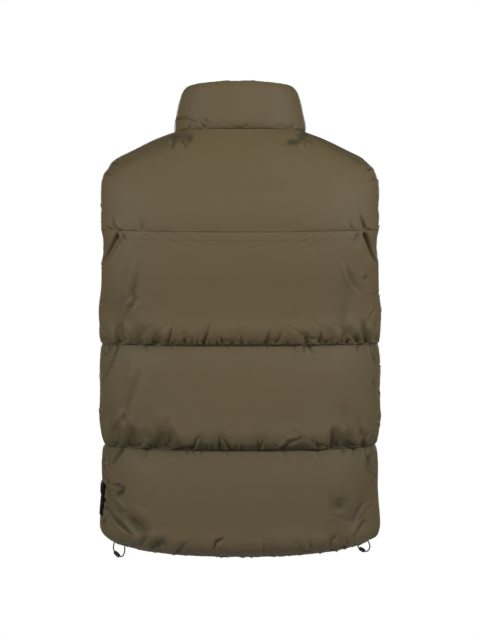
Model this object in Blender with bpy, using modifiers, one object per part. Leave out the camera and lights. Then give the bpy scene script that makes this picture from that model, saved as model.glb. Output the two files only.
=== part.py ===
"""A padded, quilted vest in its worn shape: back and two fronts in four baffles each, stand collar, centre-front zip, a plain patch at the left side, and an elastic cord loop with its lock at each side of the hem.

Metres, +Z up. The front faces -Y and the wearer's left is +X. The origin is the middle of the neck opening, level with the neck points of the shoulders, which is where a wearer carries it.

Each padded piece is a closed solid: shell, down and lining as one wall, thin at its seams and full between them. The pieces follow two tables of horizontal sections, one for the body and one for the collar."""

import math

import bmesh
import bpy
import numpy as np
from mathutils import Matrix, Vector

# ---- Sizes, in metres
SEAM_GAP = 0.0003  # clear space between neighbouring pieces
EDGE_THICK = 0.0050  # a padded piece's thickness at its seams
LOFT_OUT = 0.0150  # how far a baffle stands out between its seams
LOFT_IN = 0.0080  # and how far its lining stands in
COLLAR_LOFT_OUT = 0.0055
COLLAR_LOFT_IN = 0.0045
ZIP_EDGE_X = 0.0080  # each front's edge, from the centre line
TAPE_FROM_X, TAPE_TO_X, TAPE_THICK = 0.0017, 0.0077, 0.0010
CHAIN_WIDTH, CHAIN_THICK = 0.0056, 0.0020
ARMHOLE_BACK, ARMHOLE_FRONT = 0.052, 0.064  # half-openings behind and before the side
SIDE_SEAM_BACK = 0.052  # how far behind the side the side seam ends at the hem
PATCH_WIDTH, PATCH_HEIGHT, PATCH_THICK = 0.048, 0.057, 0.0022
CORD_DIAMETER = 0.0022
LOCK_LENGTH, LOCK_RADIUS, LOCK_BORE = 0.0118, 0.0035, 0.0016
PULL_LENGTH, PULL_WIDTH, PULL_THICK = 0.030, 0.0070, 0.0016

# ---- Sections. Level 0 is the hem, 1 to 3 the quilting seams, 4 the ring through the shoulder ends and 5 the neck seam.
COLUMNS = ("level", "half_width", "back", "front", "z_back", "z_side", "z_front", "square", "dip")
BODY = (
    (0.00, 0.2165, 0.1110, 0.1130, -0.6970, -0.6805, -0.6880, 2.60, 2.0),
    (0.15, 0.2200, 0.1140, 0.1180, -0.6690, -0.6550, -0.6610, 2.60, 2.0),
    (0.50, 0.2165, 0.1150, 0.1220, -0.6070, -0.5990, -0.6020, 2.60, 2.0),
    (1.00, 0.2265, 0.1170, 0.1225, -0.5230, -0.5200, -0.5200, 2.60, 2.0),
    (1.22, 0.2215, 0.1165, 0.1235, -0.4850, -0.4820, -0.4815, 2.60, 2.0),
    (1.50, 0.2210, 0.1165, 0.1250, -0.4370, -0.4340, -0.4330, 2.60, 2.0),
    (2.00, 0.2310, 0.1215, 0.1260, -0.3510, -0.3500, -0.3460, 2.60, 2.0),
    (2.20, 0.2245, 0.1205, 0.1250, -0.3130, -0.3110, -0.3070, 2.60, 2.0),
    (2.41, 0.2260, 0.1225, 0.1255, -0.2755, -0.2740, -0.2720, 2.60, 2.0),
    (2.70, 0.2325, 0.1265, 0.1240, -0.2220, -0.2170, -0.2230, 2.60, 2.0),
    (3.00, 0.2375, 0.1275, 0.1200, -0.1670, -0.1600, -0.1740, 2.50, 2.0),
    (3.50, 0.2372, 0.1230, 0.1100, -0.1220, -0.1080, -0.1390, 2.45, 1.9),
    (4.00, 0.2210, 0.1090, 0.0980, -0.0830, -0.0635, -0.1100, 2.40, 1.8),
    (4.50, 0.1670, 0.0920, 0.0860, -0.0350, -0.0315, -0.0840, 2.30, 1.7),
    (5.00, 0.1080, 0.0720, 0.0750, 0.0035, 0.0020, -0.0625, 2.20, 1.6),
)
COLLAR = (
    (0.00, 0.1070, 0.0725, 0.0750, 0.0068, 0.0062, -0.0587, 2.20, 1.6),
    (0.25, 0.1025, 0.0695, 0.0765, 0.0285, 0.0260, -0.0365, 2.20, 1.5),
    (0.60, 0.0970, 0.0640, 0.0775, 0.0575, 0.0520, -0.0050, 2.20, 1.4),
    (1.00, 0.0885, 0.0570, 0.0755, 0.0880, 0.0820, 0.0300, 2.20, 1.4),
)
ARMHOLE_BOTTOM, ARMHOLE_TOP, COLLAR_TOP = 2.41, 4.0, 1.0

# Levels at which each row of baffles has its points: (name, levels)
ROWS = (
    ("hem", (0, 0.05, 0.12, 0.25, 0.45, 0.65, 0.82, 0.93, 1)),
    ("middle", (1, 1.07, 1.16, 1.3, 1.5, 1.7, 1.86, 1.95, 2)),
    ("upper", (2, 2.06, 2.14, 2.27, 2.41, 2.43, 2.48, 2.56, 2.68, 2.83, 2.94, 3)),
    ("yoke", (3, 3.1, 3.3, 3.55, 3.75, 3.9, 3.97, 4, 4.15, 4.4, 4.7, 4.88, 5)),
)
HALF_BACK_STATIONS = (0, 0.15, 0.32, 0.5, 0.67, 0.8, 0.9, 0.96, 1)
FRONT_STATIONS = (0, 0.05, 0.14, 0.3, 0.5, 0.7, 0.86, 0.95, 1)
COLLAR_STATIONS = (0, 0.08, 0.16, 0.24, 0.32, 0.4, 0.48, 0.56, 0.64, 0.72, 0.8, 0.88, 0.94, 0.98, 1)
COLLAR_LEVELS = (0, 0.06, 0.18, 0.4, 0.65, 0.85, 0.95, 1)

# How each edge of a piece pinches the padding: (share of the loft left at the edge, distance over which it fills)
PINCH = {
    "hem": (0.05, 0.020),
    "seam_above": (0.0, 0.070),
    "seam_below": (0.0, 0.036),
    "yoke_seam": (0.50, 0.050),
    "neck": (0.0, 0.085),
    "side": (0.30, 0.045),
    "armhole": (0.10, 0.042),
    "shoulder": (0.35, 0.055),
    "zip": (0.0, 0.034),
    "collar_base": (0.0, 0.026),
    "collar_top": (0.10, 0.016),
}

FABRIC = ("olive_shell", (0.125, 0.098, 0.056, 1), 0.62, 0.0)
TAPE = ("olive_tape", (0.105, 0.083, 0.048, 1), 0.80, 0.0)
METAL = ("dark_metal", (0.055, 0.052, 0.048, 1), 0.38, 0.9)
BLACK = ("black_patch", (0.012, 0.012, 0.012, 1), 0.70, 0.0)
CORD = ("grey_cord", (0.075, 0.073, 0.072, 1), 0.80, 0.0)
PLASTIC = ("black_plastic", (0.008, 0.008, 0.008, 1), 0.42, 0.0)


def smooth(xs, ys, at):
    """The monotone cubic through the points (xs, ys), read at the values at."""
    xs, ys, at = np.asarray(xs, float), np.asarray(ys, float), np.asarray(at, float)
    run = np.diff(xs)
    slope = np.diff(ys) / run
    near, far = slope[:-1], slope[1:]
    same_way = near * far > 0
    a, b = 2 * run[1:] + run[:-1], run[1:] + 2 * run[:-1]
    safe_near, safe_far = np.where(same_way, near, 1), np.where(same_way, far, 1)
    tangent = np.concatenate([[slope[0]], np.where(same_way, (a + b) / (a / safe_near + b / safe_far), 0), [slope[-1]]])
    i = np.clip(np.searchsorted(xs, at, side="right") - 1, 0, len(run) - 1)
    t = (at - xs[i]) / run[i]
    return (
        (2 * t**3 - 3 * t**2 + 1) * ys[i]
        + (t**3 - 2 * t**2 + t) * run[i] * tangent[i]
        + (3 * t**2 - 2 * t**3) * ys[i + 1]
        + (t**3 - t**2) * run[i] * tangent[i + 1]
    )


def section(table, level):
    """Each named column of a table of sections, at a level."""
    columns = list(zip(*table))
    return {name: smooth(columns[0], columns[k], level) for k, name in enumerate(COLUMNS)}


def skin(table, angle, level):
    """A point of the middle of the wall. The angle is 0 at centre back, pi / 2 at the wearer's left side and pi at centre front."""
    s = section(table, level)
    across, along = np.sin(angle), np.cos(angle)
    behind = along >= 0
    power = 2 / s["square"]
    x = s["half_width"] * np.sign(across) * np.abs(across) ** power
    y = np.sign(along) * np.where(behind, s["back"], s["front"]) * np.abs(along) ** power
    z = s["z_side"] + (np.where(behind, s["z_back"], s["z_front"]) - s["z_side"]) * np.abs(along) ** s["dip"]
    return np.stack(np.broadcast_arrays(x, y, z), axis=-1)


def skin_normal(table, angle, level):
    """The outward direction there."""
    first, last = table[0][0], table[-1][0]
    around = skin(table, angle + 2e-3, level) - skin(table, angle - 2e-3, level)
    up = skin(table, angle, np.minimum(level + 2e-3, last)) - skin(table, angle, np.maximum(level - 2e-3, first))
    out = np.cross(up, around)
    return out / np.linalg.norm(out, axis=-1, keepdims=True)


def side_line(level, behind):
    """How far behind the side (+Y) a body piece ends: at the side seam, the armhole or the shoulder seam."""
    if level <= ARMHOLE_BOTTOM:
        return SIDE_SEAM_BACK * (1 - (level / ARMHOLE_BOTTOM) ** 2)
    if level >= ARMHOLE_TOP:
        return 0.0
    low, high, here = (float(section(BODY, k)["z_side"]) for k in (ARMHOLE_BOTTOM, ARMHOLE_TOP, level))
    share = (2 * here - low - high) / (high - low)
    return (ARMHOLE_BACK if behind else -ARMHOLE_FRONT) * math.sqrt(max(0.0, 1 - share * share))


def angles_on_ring(table, level, behind, stations, zip_gap):
    """The angles of the stations, 0 to 1, spaced evenly along the ring from centre back to the side, or from the zip to the side."""
    if table is COLLAR:
        fine = np.linspace(0, math.pi, 721)
    else:
        s = section(table, level)
        y = side_line(level, behind)
        share = min(abs(y) / float(s["back"] if y >= 0 else s["front"]), 1.0)
        edge = math.acos(math.copysign(share ** (float(s["square"]) / 2), y))
        fine = np.linspace(0, edge, 361) if behind else np.linspace(math.pi, edge, 361)
    ring = skin(table, fine, level)
    arc = np.concatenate([[0], np.cumsum(np.linalg.norm(np.diff(ring, axis=0), axis=1))])
    if table is COLLAR:
        start, end = 0.0, arc[-1] - zip_gap
    else:
        start, end = (0.0 if behind else zip_gap), arc[-1] - SEAM_GAP / 2
    return np.interp(start + (end - start) * np.asarray(stations, float), arc, fine)


def inside_seams(table, levels):
    """The levels, with the first and last moved half a seam's gap into the piece."""
    moved = np.array(levels, float)
    for end, way in ((0, 1), (-1, -1)):
        step = skin(table, 0.0, moved[end] + way * 1e-3) - skin(table, 0.0, moved[end])
        moved[end] += way * 1e-3 * (SEAM_GAP / 2 + 0.00004) / np.linalg.norm(step)
    return moved


def fill(distance, pinch):
    """The share of the full loft at a distance from an edge."""
    left, reach = pinch
    x = np.minimum(distance / reach, 1)
    return left + (1 - left) * (1 - (1 - x) ** 2)


def side_edges():
    """The wearer's left side seam, armhole and shoulder seam as lines of points, by the name of their pinch."""

    def line(levels, behind):
        return np.array([skin(BODY, angles_on_ring(BODY, level, behind, [1.0], ZIP_EDGE_X)[0], level) for level in levels])

    turn = (1 - np.cos(np.linspace(0, math.pi, 40))) / 2
    round_armhole = ARMHOLE_BOTTOM + (ARMHOLE_TOP - ARMHOLE_BOTTOM) * turn
    armhole = np.concatenate([line(round_armhole, True), line(round_armhole, False)[::-1]])
    return {
        "side": line(np.linspace(0, ARMHOLE_BOTTOM, 24), True),
        "armhole": armhole,
        "shoulder": line(np.linspace(ARMHOLE_TOP, 5, 12), True),
    }


def distance_to(points, line):
    """The distance of each point from a line of straight pieces."""
    start, step = line[:-1], np.diff(line, axis=0)
    flat = points.reshape(-1, 1, 3)
    along = np.clip(((flat - start) * step).sum(axis=2) / np.maximum((step**2).sum(axis=1), 1e-12), 0, 1)
    return np.linalg.norm(flat - start - along[..., None] * step, axis=2).min(axis=1).reshape(points.shape[:-1])


def padded_grid(table, levels, stations, side, behind, pinches, lofts):
    """Outer and inner points of a padded piece, as arrays of stations by levels by 3. side is 1 or -1, or 0 for a piece across the centre back. The pinches are those of the lower and upper edges."""
    levels = inside_seams(table, levels)
    stations = np.asarray(stations, float)
    middle, normal = [], []
    for level in levels:
        angle = angles_on_ring(table, level, behind, stations, ZIP_EDGE_X)
        if side == 0:
            angle = np.concatenate([-angle[:0:-1], angle])
        elif side < 0:
            angle = -angle
        middle.append(skin(table, angle, level))
        normal.append(skin_normal(table, angle, level))
    middle, normal = np.stack(middle, axis=1), np.stack(normal, axis=1)
    up = np.cumsum(np.linalg.norm(np.diff(middle, axis=1, prepend=middle[:, :1]), axis=2), axis=1)
    across = np.cumsum(np.linalg.norm(np.diff(middle, axis=0, prepend=middle[:1]), axis=2), axis=0)
    full = fill(up, PINCH[pinches[0]]) * fill(up[:, -1:] - up, PINCH[pinches[1]])
    if table is COLLAR or side:
        full *= fill(across, PINCH["zip"])
    if table is COLLAR:
        full *= fill(across[-1:] - across, PINCH["zip"])
    else:
        on_left = np.abs(middle) if side == 0 else middle * (side, 1, 1)
        if side == 0:
            on_left[..., 1:] = middle[..., 1:]
        for name, line in side_edges().items():
            full *= fill(distance_to(on_left, line), PINCH[name])
    out = EDGE_THICK / 2 + lofts[0] * full
    inward = EDGE_THICK / 2 + lofts[1] * full
    return middle + normal * out[..., None], middle - normal * inward[..., None], normal


def coloured(obj, finish):
    name, colour, roughness, metallic = finish
    material = bpy.data.materials.get(name)
    if material is None:
        material = bpy.data.materials.new(name)
        material.use_nodes = True
        shader = material.node_tree.nodes["Principled BSDF"]
        shader.inputs["Base Color"].default_value = colour
        shader.inputs["Roughness"].default_value = roughness
        shader.inputs["Metallic"].default_value = metallic
    obj.data.materials.append(material)
    return obj


def new_object(name, data, finish):
    obj = bpy.data.objects.new(name, data)
    parts.objects.link(obj)
    return coloured(obj, finish)


def grid_mesh(columns, rows, place):
    """A grid primitive whose point (column, row) is moved to place(column, row)."""
    mesh = bmesh.new()
    bmesh.ops.create_grid(mesh, x_segments=columns - 1, y_segments=rows - 1, size=1)
    for vert in mesh.verts:
        column = round((vert.co.x + 1) / 2 * (columns - 1))
        row = round((vert.co.y + 1) / 2 * (rows - 1))
        vert.co = place(column, row)
    return mesh


def padded_piece(name, outer, inner):
    """A closed wall between two grids of points: the outer skin, the lining and the rim that joins them."""
    columns, rows = outer.shape[:2]
    mesh = grid_mesh(columns, rows, lambda i, j: Vector(outer[i, j]))
    lining = grid_mesh(columns, rows, lambda i, j: Vector(inner[i, j]))
    spare = bpy.data.meshes.new("lining")
    lining.to_mesh(spare)
    lining.free()
    mesh.from_mesh(spare)
    bpy.data.meshes.remove(spare)
    mesh.verts.index_update()
    mesh.verts.ensure_lookup_table()
    half = columns * rows
    rim = [e for e in mesh.edges if e.is_boundary and e.verts[0].index < half and e.verts[1].index < half]
    for edge in rim:
        # Both pieces at a seam split their rims on the same diagonal, so the gap stays even.
        a, b = sorted((v.index for v in edge.verts), key=lambda k: mesh.verts[k].co.dot((0.05, 0.03, 1)))
        for corner in ((a, b, a + half), (b, b + half, a + half)):
            mesh.faces.new([mesh.verts[k] for k in corner])
    bmesh.ops.recalc_face_normals(mesh, faces=mesh.faces)
    if mesh.calc_volume(signed=True) < 0:
        bmesh.ops.reverse_faces(mesh, faces=mesh.faces)
    data = bpy.data.meshes.new(name)
    mesh.to_mesh(data)
    mesh.free()
    data.shade_smooth()
    data.set_sharp_from_angle(angle=math.radians(60))
    return new_object(name, data, FABRIC)


def body_pieces():
    """The twelve baffles. Returns the outer grids by name, for what lies on them."""
    grids = {}
    for row, levels in ROWS:
        below = {"hem": "hem", "yoke": "yoke_seam"}.get(row, "seam_below")
        above = {"yoke": "neck", "upper": "yoke_seam"}.get(row, "seam_above")
        lofts = (LOFT_OUT, LOFT_IN)
        outer, inner, normal = padded_grid(BODY, levels, HALF_BACK_STATIONS, 0, True, (below, above), lofts)
        padded_piece(f"back_{row}", outer, inner)
        grids[f"back_{row}"] = (outer, normal)
        for side, word in ((1, "left"), (-1, "right")):
            outer, inner, normal = padded_grid(BODY, levels, FRONT_STATIONS, side, False, (below, above), lofts)
            padded_piece(f"front_{word}_{row}", outer, inner)
            grids[f"front_{word}_{row}"] = (outer, normal)
    return grids


def collar():
    outer, inner, _ = padded_grid(COLLAR, COLLAR_LEVELS, COLLAR_STATIONS, 0, True, ("collar_base", "collar_top"), (COLLAR_LOFT_OUT, COLLAR_LOFT_IN))
    padded_piece("collar", outer, inner)


def centre_front():
    """The centre-front line from the hem to the collar's top: points, directions up it and outward directions."""
    body = skin(BODY, np.full(41, math.pi), np.linspace(0.002, 5, 41))
    stand = skin(COLLAR, np.full(11, math.pi), np.linspace(0.02, COLLAR_TOP, 11))
    line = np.concatenate([body, stand])
    line[:, 0] = 0
    along = np.gradient(line, axis=0)
    along /= np.linalg.norm(along, axis=1, keepdims=True)
    out = np.cross(along, [1.0, 0.0, 0.0])
    out *= np.sign(-out[:, 1:2])
    return line, along, out


def strip(name, x_from, x_to, out_from, thick, points, finish):
    """A flat strip along the centre front, with its back face out_from in front of the middle of the wall."""
    line, _, out = points
    width = (x_from, x_to)
    mesh = grid_mesh(2, len(line), lambda i, j: Vector(line[j] + out[j] * (out_from + thick / 2)) + Vector((width[i], 0, 0)))
    data = bpy.data.meshes.new(name)
    mesh.to_mesh(data)
    mesh.free()
    obj = new_object(name, data, finish)
    solid = obj.modifiers.new("thickness", "SOLIDIFY")
    solid.thickness, solid.offset, solid.use_even_offset = thick, 0, False
    return obj


def box(size, centre, frame):
    """A box in a local frame, as an object that isn't a part."""
    mesh = bmesh.new()
    bmesh.ops.create_cube(mesh, size=1, matrix=Matrix.Translation(centre) @ Matrix.Diagonal((*size, 1)))
    bmesh.ops.transform(mesh, matrix=frame, verts=mesh.verts)
    data = bpy.data.meshes.new("tool")
    mesh.to_mesh(data)
    mesh.free()
    return as_tool(data)


def rod(radius, length, centre, frame):
    """A round bar along the local X."""
    mesh = bmesh.new()
    turn = Matrix.Rotation(math.pi / 2, 4, "Y")
    bmesh.ops.create_cone(mesh, cap_ends=True, segments=16, radius1=radius, radius2=radius, depth=length, matrix=Matrix.Translation(centre) @ turn)
    bmesh.ops.transform(mesh, matrix=frame, verts=mesh.verts)
    data = bpy.data.meshes.new("tool")
    mesh.to_mesh(data)
    mesh.free()
    return as_tool(data)


def as_tool(data):
    obj = bpy.data.objects.new("tool", data)
    tools.objects.link(obj)
    obj.hide_render = True
    obj.display_type = "WIRE"
    return obj


def joined(name, shapes, finish, bevel=0.0):
    """One solid from overlapping shapes. The first becomes the part."""
    base = shapes[0]
    tools.objects.unlink(base)
    parts.objects.link(base)
    base.name, base.hide_render, base.display_type = name, False, "TEXTURED"
    base.data.name = name
    for k, shape in enumerate(shapes[1:]):
        union = base.modifiers.new(f"join_{k}", "BOOLEAN")
        union.operation, union.solver, union.object = "UNION", "EXACT", shape
    if bevel:
        rounded = base.modifiers.new("round", "BEVEL")
        rounded.width, rounded.segments, rounded.limit_method = bevel, 1, "ANGLE"
    return coloured(base, finish)


def zip_parts():
    """Tapes, chain, box, slider and pull tab."""
    line, along, out = points = centre_front()
    for side, word in ((1, "left"), (-1, "right")):
        strip(f"zip_tape_{word}", side * TAPE_FROM_X, side * TAPE_TO_X, -TAPE_THICK / 2, TAPE_THICK, points, TAPE)
    length = np.concatenate([[0], np.cumsum(np.linalg.norm(np.diff(line, axis=0), axis=1))])

    def at(distance):
        """Point, direction up and outward direction at a distance along the line from the hem."""
        p, t, n = (np.array([np.interp(distance, length, a[:, k]) for k in range(3)]) for a in (line, along, out))
        return p, t / np.linalg.norm(t), n / np.linalg.norm(n)

    slider_at = length[-1] - 0.012
    stops = np.linspace(0.013, slider_at - 0.0022, 48)
    here = [at(d) for d in stops]
    chain_points = tuple(np.array([h[k] for h in here]) for k in range(3))
    back_face = TAPE_THICK / 2 + SEAM_GAP
    strip("zip_chain", -CHAIN_WIDTH / 2, CHAIN_WIDTH / 2, back_face, CHAIN_THICK, chain_points, TAPE)

    def frame_at(distance):
        p, t, n = at(distance)
        x = np.array([1.0, 0, 0])
        m = Matrix.Identity(4)
        for k, axis in enumerate((x, t, np.cross(x, t))):
            for r in range(3):
                m[r][k] = axis[r]
        for r in range(3):
            m[r][3] = p[r]
        return m, (1 if np.dot(np.cross(x, t), n) > 0 else -1)

    # Box that ends the zip at the hem: it hugs the chain's foot in front of the tapes.
    frame, way = frame_at(0.0065)
    joined("zip_box", [box((0.0080, 0.0085, 0.0026), Vector((0, 0, way * (back_face + 0.0013))), frame)], METAL, 0.0003)

    # Slider, in its own frame: X across, Y up the zip, Z outward.
    frame, way = frame_at(slider_at)
    front = back_face + CHAIN_THICK + SEAM_GAP
    plate = 0.0015
    rear = -(TAPE_THICK / 2 + SEAM_GAP)
    arch = 0.0028  # clear height under the bridge
    z = lambda value: way * value
    shapes = [
        box((0.0088, 0.0110, plate), Vector((0, 0, z(front + plate / 2))), frame),
        box((0.0026, 0.0030, front - rear + 0.002), Vector((0, 0.0030, z((front + rear) / 2))), frame),
        box((0.0088, 0.0110, plate), Vector((0, 0, z(rear - plate / 2))), frame),
        box((0.0022, 0.0014, arch + 0.0012), Vector((0, 0.0036, z(front + plate + arch / 2))), frame),
        box((0.0022, 0.0014, arch + 0.0012), Vector((0, -0.0036, z(front + plate + arch / 2))), frame),
        box((0.0022, 0.0086, 0.0012), Vector((0, 0, z(front + plate + arch + 0.0006))), frame),
    ]
    joined("zip_slider", shapes, METAL, 0.00022)

    # Pull tab, hanging down the chain: a pin under the bridge, two arms and a flat tab.
    pin = front + plate + 0.0014
    arm_x = 0.0024
    shapes = [
        rod(0.0007, 2 * arm_x + 0.0016, Vector((0, 0, z(pin))), frame),
        box((0.0016, 0.0090, PULL_THICK), Vector((arm_x, -0.0038, z(pin))), frame),
        box((0.0016, 0.0090, PULL_THICK), Vector((-arm_x, -0.0038, z(pin))), frame),
        box((PULL_WIDTH, PULL_LENGTH - 0.0080, PULL_THICK), Vector((0, -0.0075 - (PULL_LENGTH - 0.0080) / 2, z(pin))), frame),
    ]
    joined("zip_pull", shapes, METAL, 0.0)
    centre = frame @ Vector((0, 0, z(pin)))
    return centre, frame


def side_patch(grid):
    """A plain patch on the left front's hem baffle, moved out from that piece's own points."""
    outer, normal = grid
    columns, rows = outer.shape[:2]

    def read(array, i, j):
        """The grid's value at fractional indices, i by column and j by row."""
        a, b = min(int(i), columns - 2), min(int(j), rows - 2)
        u, v = i - a, j - b
        return (1 - u) * ((1 - v) * array[a, b] + v * array[a, b + 1]) + u * ((1 - v) * array[a + 1, b] + v * array[a + 1, b + 1])

    def index_for(y, z):
        """Fractional indices whose point has that depth and height, found by halving."""
        i, j = columns - 1.2, rows / 2
        for _ in range(40):
            low, high = 0.0, rows - 1.0
            for _ in range(30):
                j = (low + high) / 2
                low, high = (j, high) if read(outer, i, j)[2] < z else (low, j)
            low, high = 0.0, columns - 1.0
            for _ in range(30):
                i = (low + high) / 2
                low, high = (i, high) if read(outer, i, j)[1] < y else (low, i)
        return i, j

    count = 9
    lift = 0.0014 + PATCH_THICK / 2
    top, front_edge = -0.5825, -0.0035
    places = np.zeros((count, count, 3))
    for c in range(count):
        for r in range(count):
            i, j = index_for(front_edge + PATCH_WIDTH * c / (count - 1), top - PATCH_HEIGHT * (1 - r / (count - 1)))
            across = read(normal, i, j)
            places[c, r] = read(outer, i, j) + across / np.linalg.norm(across) * lift
    mesh = grid_mesh(count, count, lambda i, j: Vector(places[i, j]))
    data = bpy.data.meshes.new("side_patch")
    mesh.to_mesh(data)
    mesh.free()
    obj = new_object("side_patch", data, BLACK)
    solid = obj.modifiers.new("thickness", "SOLIDIFY")
    solid.thickness, solid.offset, solid.use_even_offset = PATCH_THICK, 0, False


# The cord loops, as a viewer behind the vest sees them: (x, depth +Y, z). The wearer's left and right loops differ as worn.
LOOPS = {
    "left": {
        "route": ((0.2110, 0.0420, -0.6835), (0.2122, 0.0430, -0.6900), (0.2116, 0.0446, -0.6955), (0.2098, 0.0462, -0.6990), (0.2060, 0.0487, -0.7021), (0.2022, 0.0512, -0.7052), (0.1975, 0.0550, -0.7050), (0.1938, 0.0595, -0.7005), (0.1920, 0.0635, -0.6935), (0.1922, 0.0650, -0.6870)),
        "lock": (0.2060, 0.0487, -0.7021),
        "along": (-0.0076, 0.0050, -0.0062),
    },
    "right": {
        "route": ((-0.2165, 0.0270, -0.6835), (-0.2188, 0.0290, -0.6900), (-0.2175, 0.0335, -0.6955), (-0.2135, 0.0390, -0.6985), (-0.2085, 0.0437, -0.6975), (-0.2043, 0.0474, -0.6947), (-0.2001, 0.0511, -0.6919), (-0.1975, 0.0548, -0.6892), (-0.1970, 0.0585, -0.6868)),
        "lock": (-0.2043, 0.0474, -0.6947),
        "along": (0.0084, 0.0074, 0.0056),
    },
}


def through(points, count):
    """A smooth line through the points (centripetal, so it has no loops), evenly spaced."""
    p = np.array(points, float)
    p = np.concatenate([[2 * p[0] - p[1]], p, [2 * p[-1] - p[-2]]])
    knots = np.concatenate([[0], np.cumsum(np.linalg.norm(np.diff(p, axis=0), axis=1) ** 0.5)])
    fine = []
    for i in range(1, len(p) - 2):
        t0, t1, t2, t3 = knots[i - 1 : i + 3]
        for t in np.linspace(t1, t2, 16, endpoint=False):
            a1 = (t1 - t) / (t1 - t0) * p[i - 1] + (t - t0) / (t1 - t0) * p[i]
            a2 = (t2 - t) / (t2 - t1) * p[i] + (t - t1) / (t2 - t1) * p[i + 1]
            a3 = (t3 - t) / (t3 - t2) * p[i + 1] + (t - t2) / (t3 - t2) * p[i + 2]
            b1 = (t2 - t) / (t2 - t0) * a1 + (t - t0) / (t2 - t0) * a2
            b2 = (t3 - t) / (t3 - t1) * a2 + (t - t1) / (t3 - t1) * a3
            fine.append((t2 - t) / (t2 - t1) * b1 + (t - t1) / (t2 - t1) * b2)
    fine = np.array(fine + [p[-2]])
    arc = np.concatenate([[0], np.cumsum(np.linalg.norm(np.diff(fine, axis=0), axis=1))])
    even = np.linspace(0, arc[-1], count)
    return np.stack([np.interp(even, arc, fine[:, k]) for k in range(3)], axis=1), arc[-1]


def hem_cord(word, loop):
    line, _ = through(loop["route"], 15)
    curve = bpy.data.curves.new(f"hem_cord_{word}", "CURVE")
    curve.dimensions = "3D"
    curve.bevel_depth, curve.bevel_resolution, curve.use_fill_caps = CORD_DIAMETER / 2, 2, True
    spline = curve.splines.new("POLY")
    spline.points.add(len(line) - 1)
    for point, place in zip(spline.points, line):
        point.co = (*place, 1)
    new_object(f"hem_cord_{word}", curve, CORD)


def cord_lock(word, loop):
    """A turned bead with a bore for the cord, lying along the cord."""
    half = LOCK_LENGTH / 2
    profile = [(LOCK_BORE, half), (0.72 * LOCK_RADIUS, half), (0.93 * LOCK_RADIUS, 0.6 * half), (LOCK_RADIUS, 0.0), (0.93 * LOCK_RADIUS, -0.6 * half), (0.72 * LOCK_RADIUS, -half), (LOCK_BORE, -half)]
    mesh = bmesh.new()
    verts = [mesh.verts.new((r, 0, h)) for r, h in profile]
    for a, b in zip(verts, verts[1:] + verts[:1]):
        mesh.edges.new((a, b))
    data = bpy.data.meshes.new(f"cord_lock_{word}")
    mesh.to_mesh(data)
    mesh.free()
    obj = new_object(f"cord_lock_{word}", data, PLASTIC)
    turn = obj.modifiers.new("turn", "SCREW")
    turn.steps = turn.render_steps = 20
    turn.use_merge_vertices, turn.merge_threshold = True, 0.00002
    turn.use_normal_calculate = True
    obj.location = loop["lock"]
    obj.rotation_mode = "QUATERNION"
    obj.rotation_quaternion = Vector(loop["along"]).to_track_quat("Z", "Y")


for old in list(bpy.data.objects):
    bpy.data.objects.remove(old)
parts = bpy.data.collections.new("padded_vest")
tools = bpy.data.collections.new("tools")
for group in (parts, tools):
    bpy.context.scene.collection.children.link(group)
tools.hide_render = True

outer_grids = body_pieces()
collar()
pull_axis, slider_frame = zip_parts()
side_patch(outer_grids["front_left_hem"])
for side_word, cord_loop in LOOPS.items():
    hem_cord(side_word, cord_loop)
    cord_lock(side_word, cord_loop)
print("pull tab turns about X through", [round(v, 5) for v in pull_axis])
print("slider frame", [[round(v, 5) for v in row] for row in slider_frame])
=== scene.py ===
import math

import bmesh
import bpy
import numpy as np
from mathutils import Matrix, Vector
from mathutils.bvhtree import BVHTree


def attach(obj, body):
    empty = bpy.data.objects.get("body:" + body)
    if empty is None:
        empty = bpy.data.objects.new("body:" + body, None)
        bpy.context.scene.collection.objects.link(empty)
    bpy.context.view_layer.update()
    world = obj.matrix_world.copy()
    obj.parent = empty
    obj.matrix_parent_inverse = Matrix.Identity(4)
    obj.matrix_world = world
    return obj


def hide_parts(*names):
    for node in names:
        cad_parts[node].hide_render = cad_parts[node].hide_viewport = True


# The looks of the padded vest. Metres, +Z up, the front faces -Y and the wearer's left is +X, as in the frame.

# ---- Sizes, in metres
SEAM_GAP = 0.0003  # clear space between neighbouring pieces
EDGE_THICK = 0.0050  # a padded piece's thickness at its seams
LOFT_OUT = 0.0150  # how far a baffle stands out between its seams
LOFT_IN = 0.0080  # and how far its lining stands in
COLLAR_LOFT_OUT = 0.0055
COLLAR_LOFT_IN = 0.0045
ZIP_EDGE_X = 0.0080  # each front's edge, from the centre line
TAPE_FROM_X, TAPE_TO_X, TAPE_THICK = 0.0017, 0.0077, 0.0010
CHAIN_WIDTH, CHAIN_THICK = 0.0056, 0.0020
ARMHOLE_BACK, ARMHOLE_FRONT = 0.052, 0.064  # half-openings behind and before the side
SIDE_SEAM_BACK = 0.052  # how far behind the side the side seam ends at the hem
PATCH_WIDTH, PATCH_HEIGHT, PATCH_THICK = 0.048, 0.057, 0.0022
CORD_DIAMETER = 0.0022
LOCK_LENGTH, LOCK_RADIUS, LOCK_BORE = 0.0118, 0.0035, 0.0016
PULL_LENGTH, PULL_WIDTH, PULL_THICK = 0.030, 0.0070, 0.0016

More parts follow.
